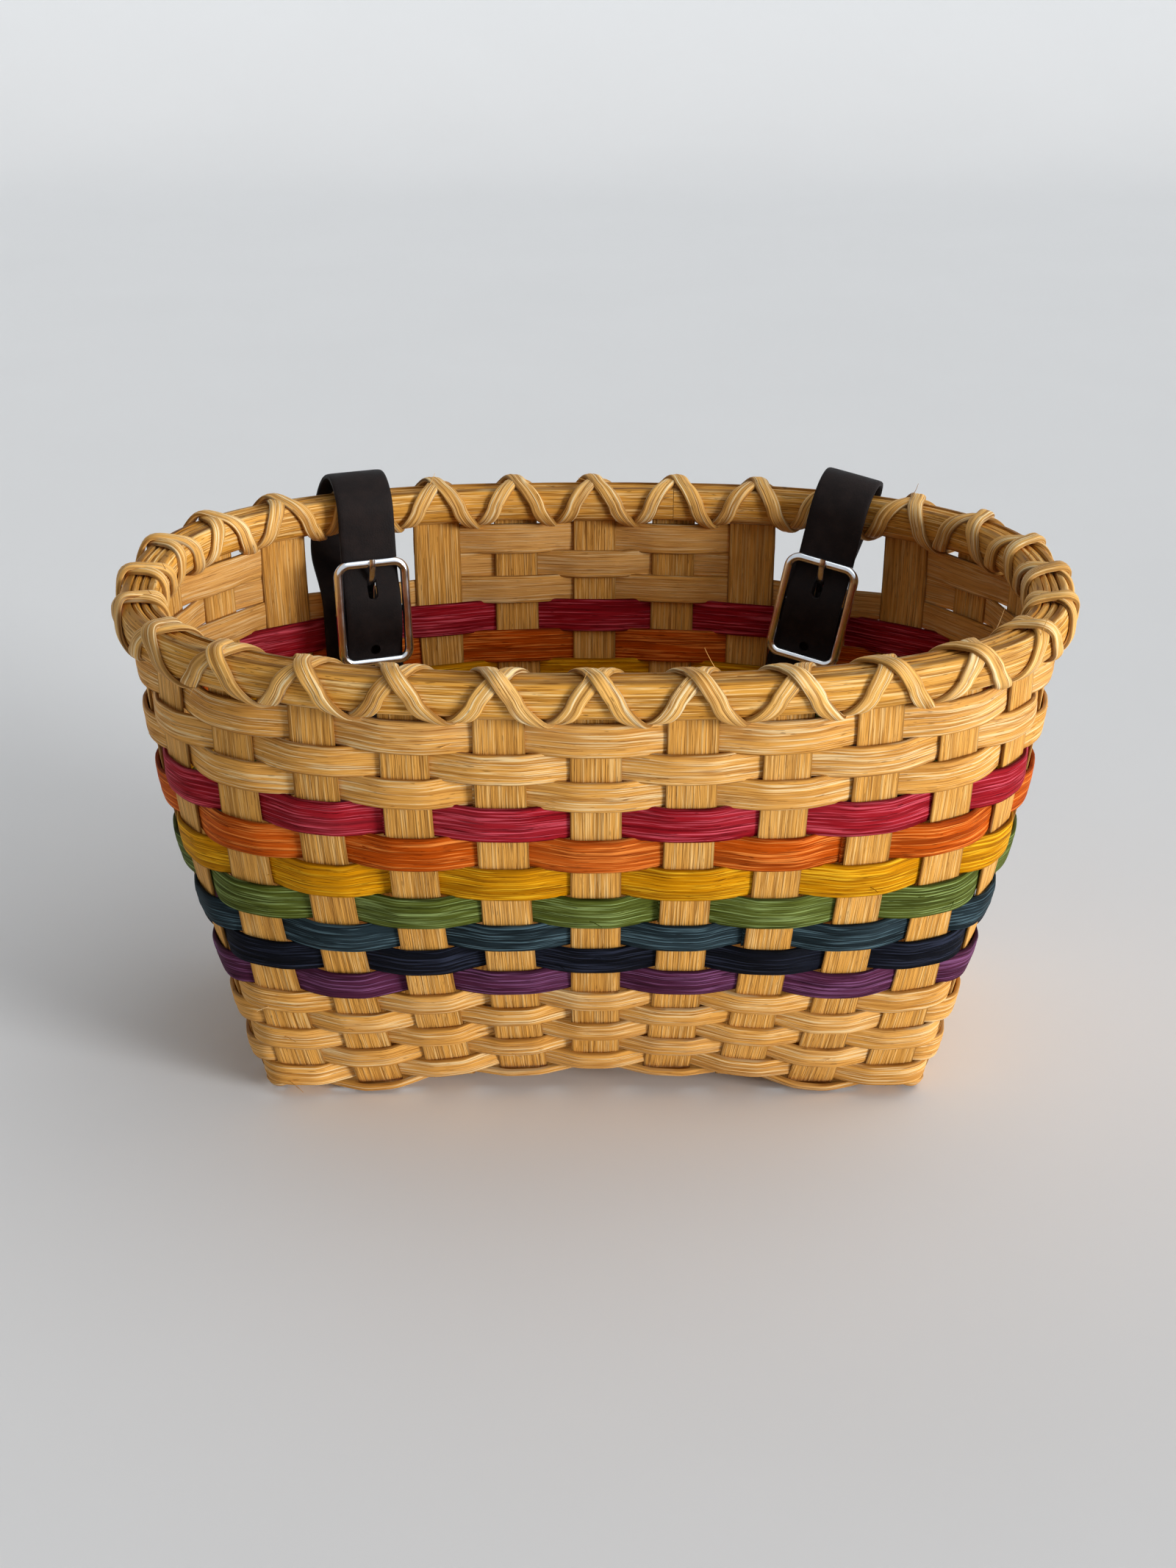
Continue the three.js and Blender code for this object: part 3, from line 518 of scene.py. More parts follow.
def reed_finish(name, body, light, dark, lights=0.8, darks=0.8, back=None, gloss=0.04):
    """Reed: light and dark lines of several widths that run with the strip, painted shade along its edges,
    and a paler, rougher back.
    """
    material, bench = new_finish(name)
    reed = bench.node("ShaderNodeAttribute", {"attribute_name": "reed"}, {}, "Vector")
    crown = bench.node("ShaderNodeAttribute", {"attribute_name": "crown"}, {}, "Fac")
    edge = bench.node("ShaderNodeAttribute", {"attribute_name": "edge"}, {}, "Fac")
    grain = {}
    for layer, (along, across, detail, shift) in GRAINS.items():
        placing = {"Vector": reed, "Location": (shift, shift, 0), "Scale": (along, across, GRAIN_SEED_WAVES)}
        stretched = bench.node("ShaderNodeMapping", {}, placing)
        grain[layer] = bench.noise(stretched, 1.0, detail, GRAIN_ROUGHNESS)
    light, dark = srgb(*light), srgb(*dark)
    deepest = tuple(DEEPEST_SHARE * c for c in dark[:3]) + (1.0,)
    # Each layer is a mask, where it starts and where it is full, its strength and its colour
    layers = [
        (grain["broad"], 0.58, 0.34, 0.7 * darks, dark),
        (grain["patch"], 0.45, 0.8, 0.2 * lights, light),
        (grain["fine"], 0.5, 0.66, lights, light),
        (grain["hair"], 0.46, 0.32, 0.9 * darks, dark),
        (grain["flecks"], 0.67, 0.74, 0.7 * darks, deepest),
        # The edge layer is painted shade: it darkens each strip towards its edges, where the gaps between
        # strips lie in shadow.
        (edge, 0.74, 1.0, 0.6, deepest),
    ]
    tone = srgb(*body)
    for mask, start, full, strength, colour in layers:
        tone = bench.mixed(bench.ranged(mask, start, full, 0.0, strength), tone, colour)
    behind = bench.ranged(crown, -0.05, -0.3)
    if back:
        worn = behind * bench.ranged(grain["hair"], 0.3, 0.65, 0.3, 0.7) * (1 - edge)
        tone = bench.mixed(worn, tone, srgb(*back))
    height = grain["fine"] * 0.8 + grain["broad"] * 0.8 + grain["hair"] * 0.4 + behind * grain["flecks"] * 0.4
    rough = bench.ranged(grain["fine"], 0.3, 0.7, *REED_ROUGHNESS) + behind * 0.15
    normal = bench.bump(height, REED_BUMP, REED_BUMP_DEPTH)
    close_finish(bench, {
        "Base Color": tone, "Roughness": rough, "Normal": normal, "Specular IOR Level": gloss})
    return material


# Reeds by their body, light and dark tones, and what else sets the undyed ones apart
REED_TONES = {
    "natural": ((229, 166, 80), (255, 231, 178), (146, 84, 12)),
    "stake": ((226, 163, 76), (255, 216, 147), (112, 60, 6)),
    "purple": ((83, 36, 62), (138, 88, 130), (40, 12, 27)),
    "navy": ((13, 15, 23), (48, 53, 70), (3, 4, 6)),
    "blue": ((32, 45, 51), (92, 118, 128), (9, 14, 16)),
    "green": ((85, 94, 34), (152, 172, 104), (34, 38, 2)),
    "yellow": ((210, 138, 2), (255, 197, 44), (120, 66, 0)),
    "orange": ((193, 79, 6), (250, 148, 66), (112, 36, 0)),
    "red": ((157, 23, 34), (224, 92, 108), (82, 2, 9)),
    "rim": ((224, 160, 66), (255, 215, 145), (130, 74, 4)),
    "lashing": ((237, 181, 97), (255, 235, 186), (136, 78, 12)),
}
UNDYED = {
    "natural": {"lights": 0.65, "darks": 0.7, "back": REED_BACK, "gloss": 0.1},
    "stake": {"lights": 0.5, "darks": 0.6, "gloss": 0.1},
    "rim": {"gloss": 0.12},
    "lashing": {"back": REED_BACK, "gloss": 0.12},
}
FINISHES = {
    name: reed_finish(f"{name} reed", *tones, **UNDYED.get(name, {})) for name, tones in REED_TONES.items()
}


def reed_piece(node, paths, section, half_width, half_thickness, reed, seed, surface):
    """A piece of the basket in one of the reeds."""
    obj = swept(f"{node}_reed", paths, section, half_width, half_thickness, FINISHES[reed], seed, **surface)
    claim(obj, "basket", "natural_reed" if reed == "stake" else f"{reed}_reed", node)


def leather_finish():
    """Black leather: pores and fine cells, with browner scuffs."""
    material, bench = new_finish("black leather")
    place = bench.node("ShaderNodeTexCoord", {}, {}, "Object")
    pores = bench.noise(place, scale=1400.0, detail=3.0, roughness=0.6)
    scuffs = bench.noise(place, scale=130.0, detail=4.0, roughness=0.6)
    cells = {"Vector": place, "Scale": 900.0}
    creases = bench.node("ShaderNodeTexVoronoi", {"feature": "DISTANCE_TO_EDGE"}, cells)
    tone = bench.mixed(bench.ranged(scuffs, 0.35, 0.75), srgb(24, 19, 19), srgb(37, 30, 29))
    tone = bench.mixed(bench.ranged(pores, 0.6, 0.8, 0.0, 0.4), tone, srgb(52, 44, 40))
    height = pores * 0.4 + bench.ranged(creases, 0.0, 0.25) * 0.6
    normal = bench.bump(height, strength=0.22, distance=0.0003)
    rough = bench.ranged(scuffs, 0.3, 0.7, 0.55, 0.7)
    close_finish(bench, {"Base Color": tone, "Roughness": rough, "Normal": normal, "Specular IOR Level": 0.1})
    return material


def metal_finish():
    """Bright plated wire with faint smears."""
    material, bench = new_finish("bright nickel")
    place = bench.node("ShaderNodeTexCoord", {}, {}, "Object")
    smears = bench.noise(place, scale=160.0, detail=3.0, roughness=0.6)
    rubs = bench.noise(place, scale=900.0, detail=2.0, roughness=0.5)
    tone = bench.mixed(bench.ranged(smears, 0.35, 0.7), srgb(218, 226, 236), srgb(236, 241, 247))
    rough = bench.ranged(smears, 0.3, 0.75, 0.15, 0.21)
    normal = bench.bump(rubs, strength=0.02, distance=0.0004)
    close_finish(bench, {"Base Color": tone, "Metallic": 1.0, "Roughness": rough, "Normal": normal})
    return material


LEATHER = leather_finish()
NICKEL = metal_finish()

# Chance: one fixed run of draws for the grain, widths, laps and loose fibres
chance = np.random.default_rng(seed=28)
SEED_RANGE = (0, 50)

# Loose fibres that stand off a strip's edge, in millimetres and shares of the strip's half width
FIBRE_POINTS, FIBRE_MARGIN = 8, 8
FIBRE_LENGTH, FIBRE_STAND = (5, 13), (0.8, 3.5)
FIBRE_ROOT, FIBRE_CURL = (1.5, 2.8), (-1, 2.5)
FIBRE_TAPER, FIBRE_DEPTH = (0.05, 0.02), 3
FIBRE_STAND_POWER, FIBRE_CURL_POWER = 1.6, 2


def fibre_paths(strip, count):
    """Thin curved hairs that start at the strip's edge and point along it and outward."""
    centre, across, face = (strip[key] for key in PATH_VECTORS)
    travel = travel_along(centre)
    t = np.linspace(0, 1, FIBRE_POINTS)[:, None]
    taper = np.linspace(*FIBRE_TAPER, FIBRE_POINTS)
    hairs = []
    for at in chance.choice(np.arange(FIBRE_MARGIN, len(centre) - FIBRE_MARGIN), count, replace=False):
        edge, way = chance.choice([-1.0, 1.0]), chance.choice([-1.0, 1.0])
        length, stand = chance.uniform(*FIBRE_LENGTH), chance.uniform(*FIBRE_STAND)
        root = centre[at] + across[at] * edge * chance.uniform(*FIBRE_ROOT)
        curl = across[at] * edge * chance.uniform(*FIBRE_CURL)
        line = root + travel[at] * way * length * t + face[at] * stand * t ** FIBRE_STAND_POWER
        line = line + curl * t ** FIBRE_CURL_POWER
        side, up = turned_frames(line, np.tile(face[at], (FIBRE_POINTS, 1)))
        hairs.append(strip_path(line, side, up, taper, taper * FIBRE_DEPTH))
    return hairs


# Stakes
STAKE_STEP, STAKE_BLUR = 2.5, 3.0
STAKE_WALL_POINTS, STAKE_BASE_POINTS = 48, 120
STAKE_BEND_ROOM = 2.0
BASE_TURN, BASE_RUN_OUT = (0.25, 0.75), 5.0
SLOT_STAKE_GAP = 0.6
SLOT_FLARE, FLARE_START, FLARE_END = 0.12, 90.0, 40.0
STAKE_WIDTH_SPREAD = (0.97, 1.02)
STAKE_SURFACE = {"ridges": 4.0, "ridge_depth": 0.35, "wander": 0.25}


def even_path(points, directions):
    """Points respaced evenly and rounded off, with directions carried along."""
    walk = polyline_walk(points)
    at = np.linspace(0, walk[-1], int(walk[-1] / STAKE_STEP) + 1)
    reach = int(3 * STAKE_BLUR / STAKE_STEP) + 1
    weights = np.exp(-0.5 * (np.arange(-reach, reach + 1) * STAKE_STEP / STAKE_BLUR) ** 2)
    weights /= weights.sum()
    made = []
    for values in (points, directions):
        even = np.stack([np.interp(at, walk, values[:, i]) for i in range(3)], 1)
        before = 2 * even[0] - even[reach:0:-1]
        after = 2 * even[-1] - even[-2:-reach - 2:-1]
        padded = np.concatenate([before, even, after])
        made.append(np.stack([np.convolve(padded[:, i], weights, "valid") for i in range(3)], 1))
    return made


def stake_wall(u, top):
    """Run of a stake down the wall at place u: its points, along and out directions."""
    v = wall_share(np.linspace(top, WALL_START + STAKE_BEND_ROOM, STAKE_WALL_POINTS))
    point, along, _, out = wall_frame(float(u), v)
    return point, along, out


def stake_base(middle, travel, half_run, pitch, lifts):
    """Run of a stake across the base, over and under the stakes that it crosses."""
    reach = half_run - EDGE_INSET - STAKE_BEND_ROOM
    at = np.linspace(-reach, reach, STAKE_BASE_POINTS)
    crossing = np.clip(at / pitch + (len(lifts) - 1) / 2, -0.5, len(lifts) - 0.5)
    below = np.clip(np.floor(crossing).astype(int), 0, len(lifts) - 2)
    turn = smoothstep(crossing - below, *BASE_TURN)
    lift = (1 - turn) * lifts[below] + turn * lifts[below + 1]
    lift = lift * BASE_WEAVE * smoothstep(reach - np.abs(at), 0, BASE_RUN_OUT)
    flat = np.array(middle) + at[:, None] * np.array(travel)
    level = BASE_LEVEL + arch_height(flat[:, 0], flat[:, 1]) + lift
    side = np.tile(np.cross(travel, UP), (len(at), 1))
    return np.concatenate([flat[:, :2], level[:, None]], 1), side


def stake_piece(name, places, tops, base, flare=0.0):
    """Stake from the top of one wall, across the base and up the opposite wall."""
    first, first_along, first_out = stake_wall(places[0], tops[0])
    last, last_along, _ = stake_wall(places[1], tops[1])
    floor, floor_side = base
    points = np.concatenate([first, floor, last[::-1]])
    sides = np.concatenate([first_along, floor_side, -last_along[::-1]])
    centre, across = even_path(points, sides)
    travel = travel_along(centre)
    across = squared(across, travel)
    face = np.cross(travel, across)
    face *= np.sign(np.sum(face[0] * first_out[0]))
    walk = polyline_walk(centre)
    width_share = 1 + flare * smoothstep(walk, walk[-1] - FLARE_START, walk[-1] - FLARE_END)
    path = strip_path(centre, across, face, width_share)
    seed = chance.uniform(*SEED_RANGE)
    half_width = STAKE_WIDTH / 2 * chance.uniform(*STAKE_WIDTH_SPREAD)
    reed_piece(name, [path], "stake", half_width, STAKE_THICKNESS / 2, "stake", seed, STAKE_SURFACE)


def crossing_lift(i, j):
    """1 where cross stake i passes above long stake j, -1 where it passes below."""
    return -1.0 if (i + j) % 2 == 0 else 1.0


for i in range(1, CROSS_STAKES + 1):
    front = i - (CROSS_STAKES + 1) // 2
    back = BACK_CENTRE - front
    to_slot = min(abs(back - LEFT_SLOT), abs(back - RIGHT_SLOT))
    back_top = SLOT_LEVEL - SLOT_STAKE_GAP if to_slot == 0 else STAKE_TOP
    lifts = np.array([crossing_lift(i, j) for j in range(1, LONG_STAKES + 1)])
    base = stake_base((front * CROSS_PITCH, 0, 0), (0, 1.0, 0), BASE_HALF_DEPTH, LONG_PITCH, lifts)
    flare = SLOT_FLARE if to_slot == 1 else 0.0
    stake_piece(f"cross_stake_{i}", (front, back), (STAKE_TOP, back_top), base, flare)
for j in range(1, LONG_STAKES + 1):
    shift = j - (LONG_STAKES + 1) // 2
    ends = (3 * SIDE_PLACES - shift, SIDE_PLACES + shift)
    lifts = np.array([-crossing_lift(i, j) for i in range(1, CROSS_STAKES + 1)])
    base = stake_base((0, shift * LONG_PITCH, 0), (1.0, 0, 0), BASE_HALF_LENGTH, CROSS_PITCH, lifts)
    stake_piece(f"long_stake_{j}", ends, (STAKE_TOP, STAKE_TOP), base)


# Weavers: rows outside and inside the stakes by turns
ROW_OVERLAP = 1.4
TOP_ROW, TOP_ROW_OVERLAP, TOP_ROW_RISE = "natural_weaver_9", 2.6, 0.8
SPLIT_ROWS, SPLIT_REACH = ("natural_weaver_8", "natural_weaver_9"), 0.28
FIRST_ROW_SHARE, FIRST_ROW_WIDTH, FIRST_ROW_THICKNESS = 0.42, 5.0, 1.9
RIM_ROW_RISE, RIM_ROW_WIDTH, RIM_ROW_THICKNESS, RIM_ROW_LAP = 4.4, 11.6, 2.0, 12
STEPS_PER_STAKE = 14
SEAT_GAP = 0.05
WEAVE_TURN = (0.15, 0.85)
WEAVER_BOW, WEAVER_BOW_REACH = 0.4, 0.4
WEAVER_SLUMP, WEAVER_LEAN = 0.15, 4.5
LAP_REACH, LAP_PLACES = 0.3, range(-6, 7)
LAP_TAPER, LAP_THINNING = (0.75, 1.2), 0.5
LAP_START_OUT, LAP_END_IN = 0.25, 0.3
WEAVER_FIBRES = 5
WEAVER_SURFACE = {"ridges": 3.2, "ridge_depth": 0.6, "wander": 0.5}


def weave_side(k, order, kept_out):
    """1 where a row lies outside stake place k, -1 where it lies inside."""
    return 1.0 if k in kept_out or (k + order) % 2 == 0 else -1.0


def weaver_path(frames, u, order, thickness, crown, kept_out):
    """Strip that leans where neighbouring rows pass each other; a full round has thinned ends that lap."""
    point, _, up, out = frames
    outer = STAKE_THICKNESS / 2 + SEAT_GAP + WEAVER_BACK_SHARE * crown
    inner = STAKE_THICKNESS / 2 + SEAT_GAP + crown
    below = np.floor(u).astype(int)
    here = np.array([weave_side(k, order, kept_out) for k in below])
    after = np.array([weave_side(k + 1, order, kept_out) for k in below])
    turn = smoothstep(u - below, *WEAVE_TURN)
    side = here * (1 - turn) + after * turn
    to_stake = np.abs(u - np.round(u))
    bow = WEAVER_BOW * np.clip(1 - (to_stake / WEAVER_BOW_REACH) ** 2, 0, 1)
    offset = (outer - inner) / 2 + side * (outer + inner) / 2 + side * bow
    depth_share = 1.0
    if not kept_out:
        start = 1 - smoothstep(u - u[0], *LAP_TAPER)
        end = 1 - smoothstep(u[-1] - u, *LAP_TAPER)
        depth_share = 1 - LAP_THINNING * np.maximum(start, end)
        offset = offset + (start * LAP_START_OUT - end * LAP_END_IN) * thickness
    slump = WEAVER_SLUMP * np.clip(side, 0, 1)
    centre = point + out * offset[:, None] - up * slump[:, None]
    travel = travel_along(centre)
    across = squared(up, travel)
    face = np.cross(travel, across)
    lean = np.radians(WEAVER_LEAN) * (1 - side ** 2)[:, None]
    leaned_across = across * np.cos(lean) - face * np.sin(lean)
    leaned_face = face * np.cos(lean) + across * np.sin(lean)
    return strip_path(centre, leaned_across, leaned_face, 1.0, depth_share)


def weaver_piece(node, colour, share, ends, order, width,
                 thickness=WEAVER_THICKNESS, kept_out=(), frames_at=wall_frame):
    """One row between two places, at a height share; it laps unless it is kept outside its end stakes."""
    u = np.linspace(*ends, int(round((ends[1] - ends[0]) * STEPS_PER_STAKE)) + 1)
    crown = thickness / (1 + WEAVER_BACK_SHARE)
    path = weaver_path(frames_at(u, share), u, order, thickness, crown, kept_out)
    seed = chance.uniform(*SEED_RANGE)
    paths = [path] + fibre_paths(path, WEAVER_FIBRES)
    reed_piece(node, paths, "weaver", width / 2, crown, colour, seed, WEAVER_SURFACE)


def lap_place(order):
    """A place at the front where this row lies inside, so that its ends lap behind the stake."""
    return int(chance.choice([k for k in LAP_PLACES if (k + order) % 2 == 1]))


def lapped_ends(k):
    """A full round that starts and ends past place k."""
    return k - LAP_REACH, k + STAKES + LAP_REACH


level = WALL_START
for order, (name, pitch, colour) in enumerate(ROW_PLAN):
    middle, width = level + pitch / 2, pitch + ROW_OVERLAP
    if name == TOP_ROW:
        middle, width = middle + TOP_ROW_RISE, pitch + TOP_ROW_OVERLAP
    share = wall_share(middle)
    if name in SPLIT_ROWS:
        lengths = {
            "front": (LEFT_SLOT + 1, RIGHT_SLOT - 1 + STAKES),
            "back": (RIGHT_SLOT + 1, LEFT_SLOT - 1),
        }
        for part, (first, last) in lengths.items():
            ends = (first - SPLIT_REACH, last + SPLIT_REACH)
            weaver_piece(f"{name}_{part}", colour, share, ends, order, width, kept_out=(first, last))
    else:
        weaver_piece(name, colour, share, lapped_ends(lap_place(order)), order, width)
    level += pitch
weaver_piece("natural_weaver_1", "natural", FIRST_ROW_SHARE, lapped_ends(BACK_CENTRE), order=-1,
             width=FIRST_ROW_WIDTH, thickness=FIRST_ROW_THICKNESS, frames_at=bevel_frame)
rim_row_share = wall_share(RIM_LEVEL - RIM_HEIGHT / 2 + RIM_ROW_RISE)
weaver_piece("rim_weaver", "natural", rim_row_share, lapped_ends(RIM_ROW_LAP), order=len(ROW_PLAN),
             width=RIM_ROW_WIDTH, thickness=RIM_ROW_THICKNESS)

# Rim: two half-round hoops, and a filler of two thin strands between them
HOOP_BACK, HOOP_JOINT, HOOP_STEPS = 0.35, 0.004, 12
HOOP_SURFACE = {"ridges": 3.5, "ridge_depth": 0.6, "wander": 0.5}
FILLER_RADIUS, FILLER_SPREAD, FILLER_LEVEL = 1.5, 1.6, 5.4
FILLER_SWAY, FILLER_BOB, FILLER_WAVE = 0.1, 0.05, 1.7
FILLER_START, FILLER_JOINT, FILLER_STEPS = 12, 0.02, 8
FILLER_SURFACE = {"wander": 0.2}


def round_trip(start, joint, steps):
    """Places once round the rim, with a narrow joint where the ends meet."""
    return np.linspace(start + joint, start + STAKES - joint, STAKES * steps + 1)


def hoop_piece(node, side, start, seed):
    """Half-round hoop outside (side 1) or inside (side -1) the wall."""
    u = round_trip(start, HOOP_JOINT, HOOP_STEPS)
    point, out = rim_frames(u)
    centre = point + side * out * (HOOP_SEAT + HOOP_BACK)
    path = strip_path(centre, np.tile(UP, (len(u), 1)), side * out)
    thickness = HOOP_THICKNESS - HOOP_BACK
    reed_piece(node, [path], "hoop", RIM_HEIGHT / 2, thickness, "rim", seed, HOOP_SURFACE)


def filler_piece(node, seed):
    """Two strands that sway a little between the hoops' top edges."""
    strands = []
    for side in (-1, 1):
        u = round_trip(FILLER_START, FILLER_JOINT, FILLER_STEPS)
        point, out = rim_frames(u)
        wave = np.sin(u * FILLER_WAVE + side)[:, None]
        outward = side * FILLER_SPREAD + FILLER_SWAY * wave
        upward = FILLER_LEVEL + FILLER_BOB * wave
        centre = point + out * outward + UP * upward
        strands.append(strip_path(centre, out, np.tile(UP, (len(u), 1))))
    reed_piece(node, strands, "round", FILLER_RADIUS, FILLER_RADIUS, "rim", seed, FILLER_SURFACE)


hoop_piece("rim_outer", side=1, start=15, seed=3.1)
hoop_piece("rim_inner", side=-1, start=13, seed=9.4)
filler_piece("rim_filler", seed=5.5)

# Lashing: each strip passes under the rim between two stakes and over it above a stake
LASH_STEPS, LASH_END = 44, 0.06
LASH_CROSSING, LASH_STEADY = 0.41, 0.8
LASH_POWER, LASH_FACE_POWER = 2 / 2.7, 1.26
LASH_GAP = 0.12
LASH_TOP_SPAN, LASH_UNDER_SPAN = 0.085, 0.09
LASH_JITTER = 0.05
LASH_FIBRES = 12
LASH_SURFACE = {"ridges": 2.6, "ridge_depth": 0.7, "wander": 0.2}


def lashing_piece(node, turn, rise, seed):
    """Strip wound round the rim one way (turn 1 or -1), lifted by rise where it crosses the other strip."""
    crown = LASH_THICKNESS / (1 + LASH_BACK_SHARE)
    winding = np.linspace(LASH_END, STAKES - LASH_END, STAKES * LASH_STEPS + 1)
    lap = np.floor(winding)
    share = winding - lap
    jitter = chance.uniform(-LASH_JITTER, LASH_JITTER, STAKES + 1)
    sway = jitter[lap.astype(int)] * np.sin(np.pi * share) ** 2
    to_crossing = np.interp(share, [0, LASH_CROSSING, 1], [0, 0.5, 1])
    advance = LASH_STEADY * to_crossing + (1 - LASH_STEADY) * share
    u = BACK_CENTRE + 0.5 + turn * (lap + advance + sway)
    over = np.exp(-((share - LASH_CROSSING) / LASH_TOP_SPAN) ** 2)
    under = np.exp(-(np.minimum(share, 1 - share) / LASH_UNDER_SPAN) ** 2)
    lift = LASH_GAP + LASH_BACK_SHARE * crown + rise * (over + under)
    half_depth, half_height = HOOP_SEAT + HOOP_THICKNESS, RIM_HEIGHT / 2
    sine, cosine = np.sin(2 * np.pi * share), -np.cos(2 * np.pi * share)
    outward = ((half_depth + lift) * bent(sine, LASH_POWER))[:, None]
    upward = ((half_height + lift) * bent(cosine, LASH_POWER))[:, None]
    face_out = (bent(sine, LASH_FACE_POWER) / half_depth)[:, None]
    face_up = (bent(cosine, LASH_FACE_POWER) / half_height)[:, None]
    point, out = rim_frames(u)
    centre = point + out * outward + UP * upward
    across, face = turned_frames(centre, unit(out * face_out + UP * face_up))
    path = strip_path(centre, across, face)
    paths = [path] + fibre_paths(path, LASH_FIBRES)
    reed_piece(node, paths, "lashing", LASH_WIDTH / 2, crown, "lashing", seed, LASH_SURFACE)


lashing_piece("lashing_under", turn=1, rise=0.0, seed=2.2)
lashing_piece("lashing_over", turn=-1, rise=2.0, seed=7.7)

# Straps with buckles, in a side view: depth into the basket from the rim, level from the rim's middle
STRAP_WIDTH, STRAP_THICKNESS, STRAP_STEP = 25.0, 2.4, 1.6
BOW, BAR_TOP, BAR_MIDDLE, BAR_BOTTOM = 15.7, -21.0, -43.0, -65.0
BULGE, FRAME_DEPTH, BAR_DEPTH, FOLD_RADIUS = 4.0, 18.8, 14.0, 3.0
BACK_LEG_TOP, WALL_RUN, WALL_RUN_TOP = -11.0, 4.7, -44.8
LOOP_DROP, LOOP_RADIUS = -101.0, 5.95
CHAPE_DEPTH, FOLD_END_DEPTH, FOLD_RUN = 11.6, 8.6, 10.0
TAIL_END, TAIL_LEAN = -98.0, 6.0
TIP_LENGTH, TIP_SHARE, TIP_POWER = 13.0, 0.2, 0.9
DRIFT_START, DRIFT_RETURN = 50.0, (-30.0, 25.0)
HOLE_WIDTH, HOLE_DEPTHS = 4.5, {-60.0: (13.5, 24.0), -86.0: (17.3, 26.0)}
# Slots for the tongue, in the front leather and in the fold: bottom, top, width and depths
TONGUE_SLOTS = ((-37.0, -26.8, 4.4, 15.0, 24.0), (-48.6, -37.4, 4.6, 9.0, 18.4))
BUCKLE_HALF_WIDTH, BUCKLE_HALF_HEIGHT, BUCKLE_CORNER, BUCKLE_CORNER_STEPS = 15.0, 22.0, 5.0, 10
BUCKLE_WIRE_RADIUS, BAR_SHARE, BAR_BEND, BAR_SINK = 2.0, 0.92, 2.2, 1.0
TONGUE_WIDTH, TONGUE_HALF_THICKNESS, TONGUE_RING, TONGUE_STEP = 3.6, 0.8, 2.6, 0.6
TONGUE_BENDS = ((13.6, -37.0), (14.2, -33.5), (18.9, -28.0), (21.1, -24.0))
TONGUE_GAP, TONGUE_REST_LEVELS = 0.5, (-0.6, 2.4)
TONGUE_TAPER, TONGUE_TAPER_RUN = 0.25, 14.0
RIVET_LEVEL, RIVET_GRIP, RIVET_STEPS = -69.0, 1.35, 28
# Radius and height of the rivet's dome, from its middle to its shank
RIVET_DOME = ((0, 0.7), (1.6, 0.66), (2.8, 0.5), (3.7, 0.2), (4.0, 0.0), (1.5, -0.02))
STRAP_SWING = -7.6
# Each strap's lean in degrees, its shift along the rim and the sideways drift of its back leg
STRAP_HANG = {"left": (0.0, 0.0, -7.0), "right": (10.0, 6.0, -5.0)}


def eased(start, end, steps=14):
    """Points of a soft bend that leaves and arrives upright, without its first point."""
    t = np.linspace(0, 1, steps + 1)[1:, None]
    middle = (start[1] + end[1]) / 2
    control = np.array([start, (start[0], middle), (end[0], middle), end])
    weights = np.concatenate([(1 - t) ** 3, 3 * (1 - t) ** 2 * t, 3 * (1 - t) * t ** 2, t ** 3], 1)
    return [tuple(point) for point in weights @ control]


def strap_line():
    """From the tail's tip up through the buckle, over the rim, down the wall and up to the fold."""
    line = [(BOW + TAIL_LEAN, TAIL_END)]
    line += eased(line[-1], (BOW, BAR_BOTTOM))
    line += eased(line[-1], (BOW + BULGE, BAR_MIDDLE))
    line += eased(line[-1], (BOW, BAR_TOP))
    line.append((BOW, 0))
    line += arced((0, 0), BOW, 0, 180, steps=30)
    line.append((-BOW, BACK_LEG_TOP))
    line += eased(line[-1], (WALL_RUN, WALL_RUN_TOP), steps=24)
    line.append((WALL_RUN, LOOP_DROP))
    line += arced((WALL_RUN + LOOP_RADIUS, LOOP_DROP), LOOP_RADIUS, 180, 360)
    line += eased(line[-1], (CHAPE_DEPTH, BAR_BOTTOM - FOLD_RUN))
    line.append((CHAPE_DEPTH, BAR_BOTTOM))
    line += eased(line[-1], (BAR_DEPTH + FOLD_RADIUS, BAR_MIDDLE))
    line += arced((BAR_DEPTH, BAR_MIDDLE), FOLD_RADIUS, 0, 180, steps=16)
    line += eased(line[-1], (FOLD_END_DEPTH, BAR_BOTTOM))
    line.append((FOLD_END_DEPTH, BAR_BOTTOM - FOLD_RUN))
    return np.array(line, float)


def rotation(axis, degrees):
    c, s = math.cos(math.radians(degrees)), math.sin(math.radians(degrees))
    matrices = {
        "x": [[1, 0, 0], [0, c, -s], [0, s, c]],
        "y": [[c, 0, s], [0, 1, 0], [-s, 0, c]],
        "z": [[c, -s, 0], [s, c, 0], [0, 0, 1]],
    }
    return np.array(matrices[axis])


class StrapPlace:
    """Where a strap hangs: on its swing joint, turned square to the rim, then swung and leaned."""

    def __init__(self, side, lean, shift):
        joint = next(j for j in frame["joints"] if j["name"] == f"{side}_strap_swing")
        axis_x, axis_y, _ = joint["axis"]
        self.seat = np.array(joint["pos_m"]) / MM
        self.turn = rotation("z", math.degrees(math.atan2(-axis_y, -axis_x)))
        self.hang = rotation("x", STRAP_SWING) @ rotation("y", lean)
        self.shift = np.array([shift, 0, 0])

    def direction(self, local):
        return local @ (self.turn @ self.hang).T

    def point(self, local):
        return self.seat + (local @ self.hang.T + self.shift) @ self.turn.T


def band_path(place, line, width_share, shift=0.0):
    """Path of a band drawn in the side view, centred on the strap."""
    local = np.stack([np.broadcast_to(shift, len(line)), -line[:, 0], line[:, 1]], 1)
    across = np.tile([1.0, 0, 0], (len(local), 1))
    face = np.cross(travel_along(local), across)
    return strip_path(place.point(local), place.direction(across), place.direction(face), width_share)


